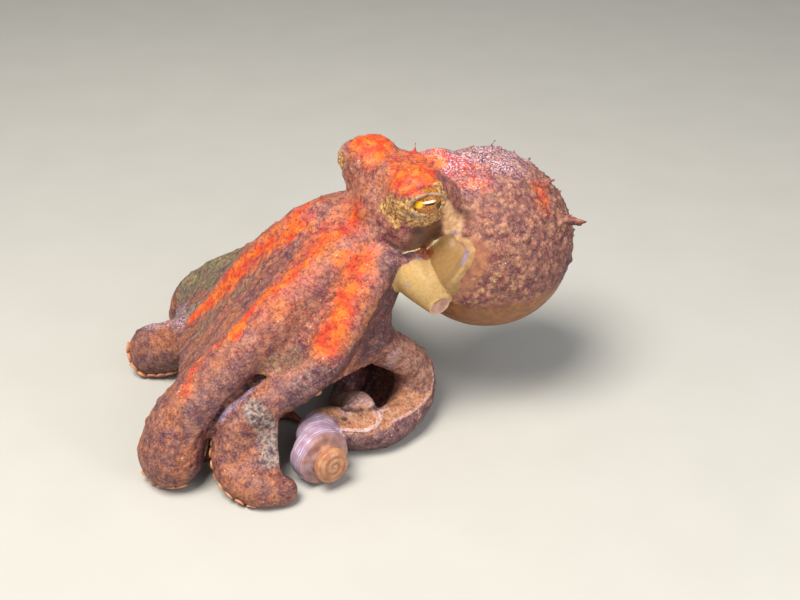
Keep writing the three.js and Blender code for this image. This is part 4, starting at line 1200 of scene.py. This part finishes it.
def skin_material():
    # Living skin full of colour cells: dull and damp, with grains, painted shade in their clefts and painted
    # glints of light
    material, tree = new_material("octopus_skin_red")
    place = add_node(tree, "TexCoord").outputs["Object"]
    source = {name: add_node(tree, "Attribute", attribute_name=name).outputs["Fac"]
              for name in ZONE_NAMES}
    for name, (kind, size, detail) in PATTERNS.items():
        pattern = add_node(tree, kind, {"Vector": place, "Scale": per_mm(size), "Detail": detail})
        source[name] = pattern.outputs[0]

    def mask(*parts):
        """The product of the parts of a layer's mask."""
        product = None
        for part in parts:
            if isinstance(part, str):
                part = source[part]
            elif isinstance(part, tuple):
                limits = dict(enumerate(part[1:], 1))
                part = add_node(tree, "MapRange", {0: source[part[0]], **limits}).outputs[0]
            product = part if product is None else add_node(
                tree, "Math", {0: product, 1: part}, operation="MULTIPLY").outputs[0]
        return product

    def lay(under, layers):
        """Lays colours over one another, each where its mask is strong."""
        for code, *parts in layers:
            under = add_node(tree, "Mix", {0: mask(*parts), 6: under, 7: linear(code)},
                             data_type="RGBA").outputs[2]
        return under

    source["rough"] = mask(("smooth", 0.0, 1.0, 1.0, 0.0))
    pull = add_node(tree, "TexNoise", {"Vector": place, "Scale": per_mm(2.0), "Detail": 2.0}).outputs[1]
    pulled = add_node(tree, "VectorMath", {0: pull, 1: (TILE_WARP * MM,) * 3, 2: place},
                      operation="MULTIPLY_ADD").outputs[0]
    source["tiles"] = add_node(tree, "TexVoronoi", {"Vector": pulled, "Scale": per_mm(TILE)}).outputs[0]
    colour = lay(linear(GROUND), UNDER_COAT)
    for zone, low, high, blotch, ragged, soft, cover in COAT:
        edge = add_node(tree, "Math", {0: source["speckle"], 1: ragged, 2: -ragged / 2},
                        operation="MULTIPLY_ADD").outputs[0]
        edge = add_node(tree, "Math", {0: source[zone], 1: edge}, operation="ADD").outputs[0]
        amount = add_node(tree, "MapRange", {0: edge, 1: 0.5 - soft / 2, 2: 0.5 + soft / 2, 4: cover})
        mixed = add_node(tree, "TexNoise", {"Vector": place, "Scale": per_mm(blotch), "Detail": 3.0})
        mixed = add_node(tree, "MapRange", {0: mixed.outputs[0], 1: 0.38, 2: 0.62}).outputs[0]
        tone = add_node(tree, "Mix", {0: mixed, 6: linear(low), 7: linear(high)}, data_type="RGBA")
        colour = add_node(tree, "Mix", {0: amount.outputs[0], 6: colour, 7: tone.outputs[2]},
                          data_type="RGBA").outputs[2]
        if zone == "brown":
            colour = lay(colour, OCHRE_PATCHES)
    colour = lay(colour, WEB_LINES)
    # Lilac bands round the rolled end, wavy and broken, on brown
    across = add_node(tree, "SeparateXYZ", {0: place}).outputs[0]
    bends = mask(("bends", 0.2, 0.8, 0.0, 6.0))
    wave = add_node(tree, "Math", {0: across, 1: 2 * math.pi / (ROLL_BAND * MM), 2: bends},
                    operation="MULTIPLY_ADD")
    source["bands"] = add_node(tree, "Math", {0: wave.outputs[0]}, operation="SINE").outputs[0]
    banded = lay(linear("#a4869a"), (("#d4cce8", ("bands", -0.6, 0.9), ("breaks", 0.35, 0.65)),))
    colour = add_node(tree, "Mix", {0: mask("lilac", 0.9), 6: colour, 7: banded},
                      data_type="RGBA").outputs[2]
    colour = lay(colour, OVER_COAT)
    source["relief"] = add_node(tree, "Math", {0: source["beads"], 1: -0.8, 2: source["speckle"]},
                                operation="MULTIPLY_ADD").outputs[0]
    height = mask("relief", ("rough", 0.0, 1.0, 0.25, 1.0))
    bump = add_node(tree, "Bump", {"Strength": 0.6, "Distance": 0.3 * MM, "Height": height})
    shader = add_node(tree, "BsdfPrincipled", {
        "Base Color": colour, "Roughness": mask(("rough", 0.0, 1.0, 0.36, 0.55)), "IOR": 1.38,
        "Normal": bump.outputs[0]})
    add_node(tree, "OutputMaterial", {"Surface": shader.outputs[0]})
    return material


# Patches of colour on the eye, from the lowest up: how far ahead of the gaze and above it in
# millimetres, half length, half height, how soft the edge is, and the colour
EYE_PATCHES = (
    (-2.4, -1.2, 1.4, 1.1, 0.5, "#341a10"),   # shade under the rear lid
    (3.7, 0.1, 1.0, 1.1, 0.5, "#f4b41c"),     # gleam at the front corner
    (0.9, 0.55, 1.9, 0.34, 0.5, "#ecdcc4"),   # silver above the pupil, partly a painted highlight
    (0.6, -0.2, 1.7, 0.26, 0.3, "#180c0a"),   # the pupil
)


def eye_material():
    # Golden iris under a clear wet cornea: a dark level slit for a pupil, and silver above it that is partly
    # a painted highlight
    material, tree = new_material("octopus_eye_gold")
    place = add_node(tree, "Attribute", attribute_name="gaze_mm").outputs["Vector"]
    fleck = add_node(tree, "TexNoise", {"Vector": place, "Scale": 2.4, "Detail": 3.0}).outputs[0]
    amount = add_node(tree, "MapRange", {0: fleck, 1: 0.35, 2: 0.65}).outputs[0]
    colour = add_node(tree, "Mix", {0: amount, 6: linear("#6e3c14"), 7: linear("#c07a26")},
                      data_type="RGBA").outputs[2]
    for ahead, above, half_length, half_height, soft, code in EYE_PATCHES:
        # place in half lengths from the patch's middle, then the square of its distance
        local = add_node(tree, "VectorMath", {
            0: place, 1: (1 / half_length, 1 / half_height, 0.0),
            2: (-ahead / half_length, -above / half_height, 0.0)}, operation="MULTIPLY_ADD").outputs[0]
        square = add_node(tree, "VectorMath", {0: local, 1: local}, operation="DOT_PRODUCT").outputs[1]
        amount = add_node(tree, "MapRange", {0: square, 1: 1 + soft, 2: 1 - soft}).outputs[0]
        colour = add_node(tree, "Mix", {0: amount, 6: colour, 7: linear(code)},
                          data_type="RGBA").outputs[2]
    shader = add_node(tree, "BsdfPrincipled", {
        "Base Color": colour, "Roughness": 0.12, "IOR": 1.38, "Coat Weight": 0.6, "Coat Roughness": 0.05})
    add_node(tree, "OutputMaterial", {"Surface": shader.outputs[0]})
    return material


def sucker_material():
    # Suckers are paler than the skin, peach at the rim and lilac in the cup
    material, tree = new_material("octopus_sucker_pale")
    place = add_node(tree, "TexCoord").outputs["Object"]
    cup = add_node(tree, "Attribute", attribute_name="cup").outputs["Fac"]
    fleck = add_node(tree, "TexNoise", {"Vector": place, "Scale": per_mm(1.2), "Detail": 3.0}).outputs[0]
    rim = add_node(tree, "Mix", {0: fleck, 6: linear("#c07a48"), 7: linear("#d99a6c")},
                   data_type="RGBA").outputs[2]
    colour = add_node(tree, "Mix", {0: cup, 6: rim, 7: linear("#9a7890")}, data_type="RGBA").outputs[2]
    bump = add_node(tree, "Bump", {"Strength": 0.3, "Distance": 0.2 * MM, "Height": fleck})
    shader = add_node(tree, "BsdfPrincipled", {
        "Base Color": colour, "Roughness": 0.4, "IOR": 1.38, "Normal": bump.outputs[0]})
    add_node(tree, "OutputMaterial", {"Surface": shader.outputs[0]})
    return material


def floor_material():
    # Matt painted board: an even pale surface that only takes the shadow
    material, tree = new_material("studio_floor")
    place = add_node(tree, "TexCoord").outputs["Object"]
    fleck = add_node(tree, "TexNoise", {"Vector": place, "Scale": per_mm(30), "Detail": 4.0}).outputs[0]
    colour = add_node(tree, "Mix", {0: fleck, 6: linear("#b9b7b0"), 7: linear("#c1bfb8")},
                      data_type="RGBA").outputs[2]
    shader = add_node(tree, "BsdfPrincipled", {"Base Color": colour, "Roughness": 0.9})
    add_node(tree, "OutputMaterial", {"Surface": shader.outputs[0]})
    return material


# ---- eyes ----
def build_eye(side, material):
    mound = EYE_MOUNDS[side]
    gaze = unit(mound["gaze"])
    centre = np.array(mound["centre"]) + gaze * (TURRET_RADIUS + EYE_PROUD - EYE_RADIUS)
    radius = EYE_RADIUS - 0.05
    eye = ellipsoid(f"eyeball_{side}", {"centre": centre, "radii": (radius,) * 3, "axis": tuple(gaze)})
    mesh = eye.data
    points = spots(mesh)
    view = eye_view(points, side)
    local = (points - centre) @ np.stack((view["ahead_axis"], view["above_axis"], gaze), 1)
    layer = mesh.attributes.new("gaze_mm", "FLOAT_VECTOR", "POINT")
    layer.data.foreach_set("vector", local.astype(np.float32).ravel())
    select_only(eye)
    bpy.ops.object.shade_smooth()
    mesh.materials.append(material)
    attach(eye, "root")
    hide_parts(f"eye_{side}")


# ---- suckers ----
# Rows of suckers on the mouth sides: arm, from, to, lean, how many, and the radius at each end
SUCKER_ROWS = (
    ("left_1", 3.4, 6.8, 165, 10, 1.8, 2.2),
    ("left_1", 3.6, 6.6, 195, 9, 1.8, 2.2),
    ("right_1", 3.4, 6.8, 165, 10, 1.8, 2.2),
    ("right_1", 3.6, 6.6, 195, 9, 1.8, 2.2),
    ("right_2", 3.2, 5.8, 165, 10, 1.6, 1.8),
    ("right_2", 3.4, 5.6, 195, 9, 1.6, 1.8),
    ("left_2", 3.4, 6.2, 165, 8, 1.5, 1.7),
    ("left_2", 3.6, 6.4, 195, 8, 1.5, 1.7),
)
# Rows that show along the edges of the bent arm ends: how many, the radius, and spots near them
SUCKER_EDGES = (
    (9, 1.6, ((1.8, -65.4, 17), (2, -66.4, 13.4), (5.2, -67.4, 10), (8, -67.6, 7), (12, -67, 4.8),
              (15.6, -65.6, 3.4), (19, -63.6, 2.2))),
    (7, 1.8, ((-15, -82, 7), (-12, -83.4, 5), (-6.6, -83.2, 2.6), (-1.4, -81.4, 1.6), (2.4, -78, 1.6))),
    (7, 2.0, ((-67.4, -63.4, 10), (-66, -64, 7), (-64, -63.2, 4), (-61.6, -61, 2.6), (-58.6, -58, 2.4),
              (-55.6, -55, 2.4))),
)


MOUTH_SIDE = 0.2                          # a sucker sits only where the skin faces up less than this


def sucker_shape(sides=14):
    """A round cup on a short stalk, of radius 1, opening towards +Z."""
    profile = ((0.62, -0.5), (0.78, -0.1), (1.0, 0.12), (0.97, 0.3), (0.8, 0.36), (0.52, 0.2), (0.3, 0.02),
               (0.04, -0.04))
    angles = circle(sides)
    rings = [np.stack((radius * np.cos(angles), radius * np.sin(angles), np.full(sides, height)), 1)
             for radius, height in profile]
    cup = np.repeat([0, 0, 0.1, 0.15, 0.4, 0.9, 1, 1], sides)
    return np.vstack(rings), rings_to_faces(len(rings), sides), cup


def build_suckers(skin):
    mesh = skin.data
    tree = BVHTree.FromPolygons(spots(mesh).tolist(), [list(face.vertices) for face in mesh.polygons])
    seats = []
    for name, start, end, lean, count, size_a, size_b in SUCKER_ROWS:
        limb = LIMBS[name]
        for i in range(count):
            at = start + (end - start) * i / (count - 1)
            outward = limb.normal(at, lean)
            hit = tree.ray_cast(Vector(limb.surface(at, lean, 1.6)), Vector(-outward))
            size = size_a + (size_b - size_a) * i / (count - 1)
            if hit[0] is not None and hit[1].z < MOUTH_SIDE:
                seats.append((np.array(hit[0]), np.array(hit[1]), size))
    for count, size, line in SUCKER_EDGES:
        line = np.array(line, float)
        length = sums(np.linalg.norm(np.diff(line, axis=0), axis=1))
        for part in np.linspace(0, length[-1], count):
            hit = tree.find_nearest(Vector([np.interp(part, length, column) for column in line.T]))
            if hit[1].z < MOUTH_SIDE:
                seats.append((np.array(hit[0]), np.array(hit[1]), size))
    shape, faces, cup = sucker_shape()
    all_points = []
    all_faces = []
    for seat, normal, size in seats:
        across = unit(np.cross(normal, (0.2, 0.3, 1)))
        third = np.cross(normal, across)
        placed = (shape[:, :1] * across + shape[:, 1:2] * third + shape[:, 2:] * normal) * size + seat
        base = len(all_points) * len(shape)
        all_points.append(kept_in_box(placed, SUCKER_GAP))
        all_faces += [[base + v for v in face] for face in faces]
    piece = piece_from("suckers", np.vstack(all_points), all_faces)
    layer = piece.data.attributes.new("cup", "FLOAT", "POINT")
    layer.data.foreach_set("value", np.tile(cup, len(seats)).astype(np.float32))
    select_only(piece)
    bpy.ops.object.shade_smooth()
    piece.data.materials.append(sucker_material())
    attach(piece, "root")


# ---- camera, lights and floor ----
CAMERA_TARGET = (16.1, 25.5, 30.0)        # in the model's frame
CAMERA_AZIMUTH = 55
CAMERA_ELEVATION = 30
CAMERA_DISTANCE = 370


def aimed(name, data, azimuth, elevation, distance):
    """A camera or light, turned to the camera's target from a side, a height in degrees and a distance."""
    turn, tilt = math.radians(azimuth), math.radians(elevation)
    back = Vector((math.sin(turn) * math.cos(tilt), -math.cos(turn) * math.cos(tilt), math.sin(tilt)))
    piece = bpy.data.objects.new(name, data)
    piece.location = (Vector(CAMERA_TARGET) + back * distance) * MM
    piece.rotation_euler = back.to_track_quat("Z", "Y").to_euler()
    bpy.context.collection.objects.link(piece)
    return piece


def add_camera():
    data = bpy.data.cameras.new("camera")
    data.lens = 50
    data.sensor_width = 36
    data.clip_start = 0.01
    bpy.context.scene.camera = aimed("camera", data, CAMERA_AZIMUTH, CAMERA_ELEVATION, CAMERA_DISTANCE)


def add_light(name, azimuth, elevation, distance, size, watts, colour):
    data = bpy.data.lights.new(name, "AREA")
    data.size = size * MM
    data.energy = watts
    data.color = linear(colour)[:3]
    aimed(name, data, azimuth, elevation, distance)


def add_stage():
    bpy.ops.mesh.primitive_plane_add(size=6, location=(0, 0, 0))
    floor = bpy.context.object
    floor.name = "floor"
    floor.data.materials.append(floor_material())
    add_light("key", 20, 62, 750, 350, 8.5, "#fffaf2")
    add_light("fill", 100, 35, 900, 700, 2.2, "#eef4ff")
    add_light("catch", 97, 17, 500, 70, 0.5, "#ffffff")
    world = bpy.data.worlds.new("studio")
    world.use_nodes = True
    background = world.node_tree.nodes["Background"]
    background.inputs[0].default_value = linear("#e6e8ea")
    background.inputs[1].default_value = 0.35
    bpy.context.scene.world = world
    bpy.context.scene.view_settings.view_transform = "Standard"


# ---- the whole ----
bpy.ops.object.select_all(action="DESELECT")
add_camera()
add_stage()
octopus = build_skin()
sculpt(octopus)
thin_out(octopus, SKIN_TRIANGLES)
write_zones(octopus)
select_only(octopus)
bpy.ops.object.shade_smooth()
octopus.data.materials.append(skin_material())
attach(octopus, "root")
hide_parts(*[name for name in sorted(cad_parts) if not name.startswith("eye_")])
wet_gold = eye_material()
for eye_side in EYE_MOUNDS:
    build_eye(eye_side, wet_gold)
build_suckers(octopus)
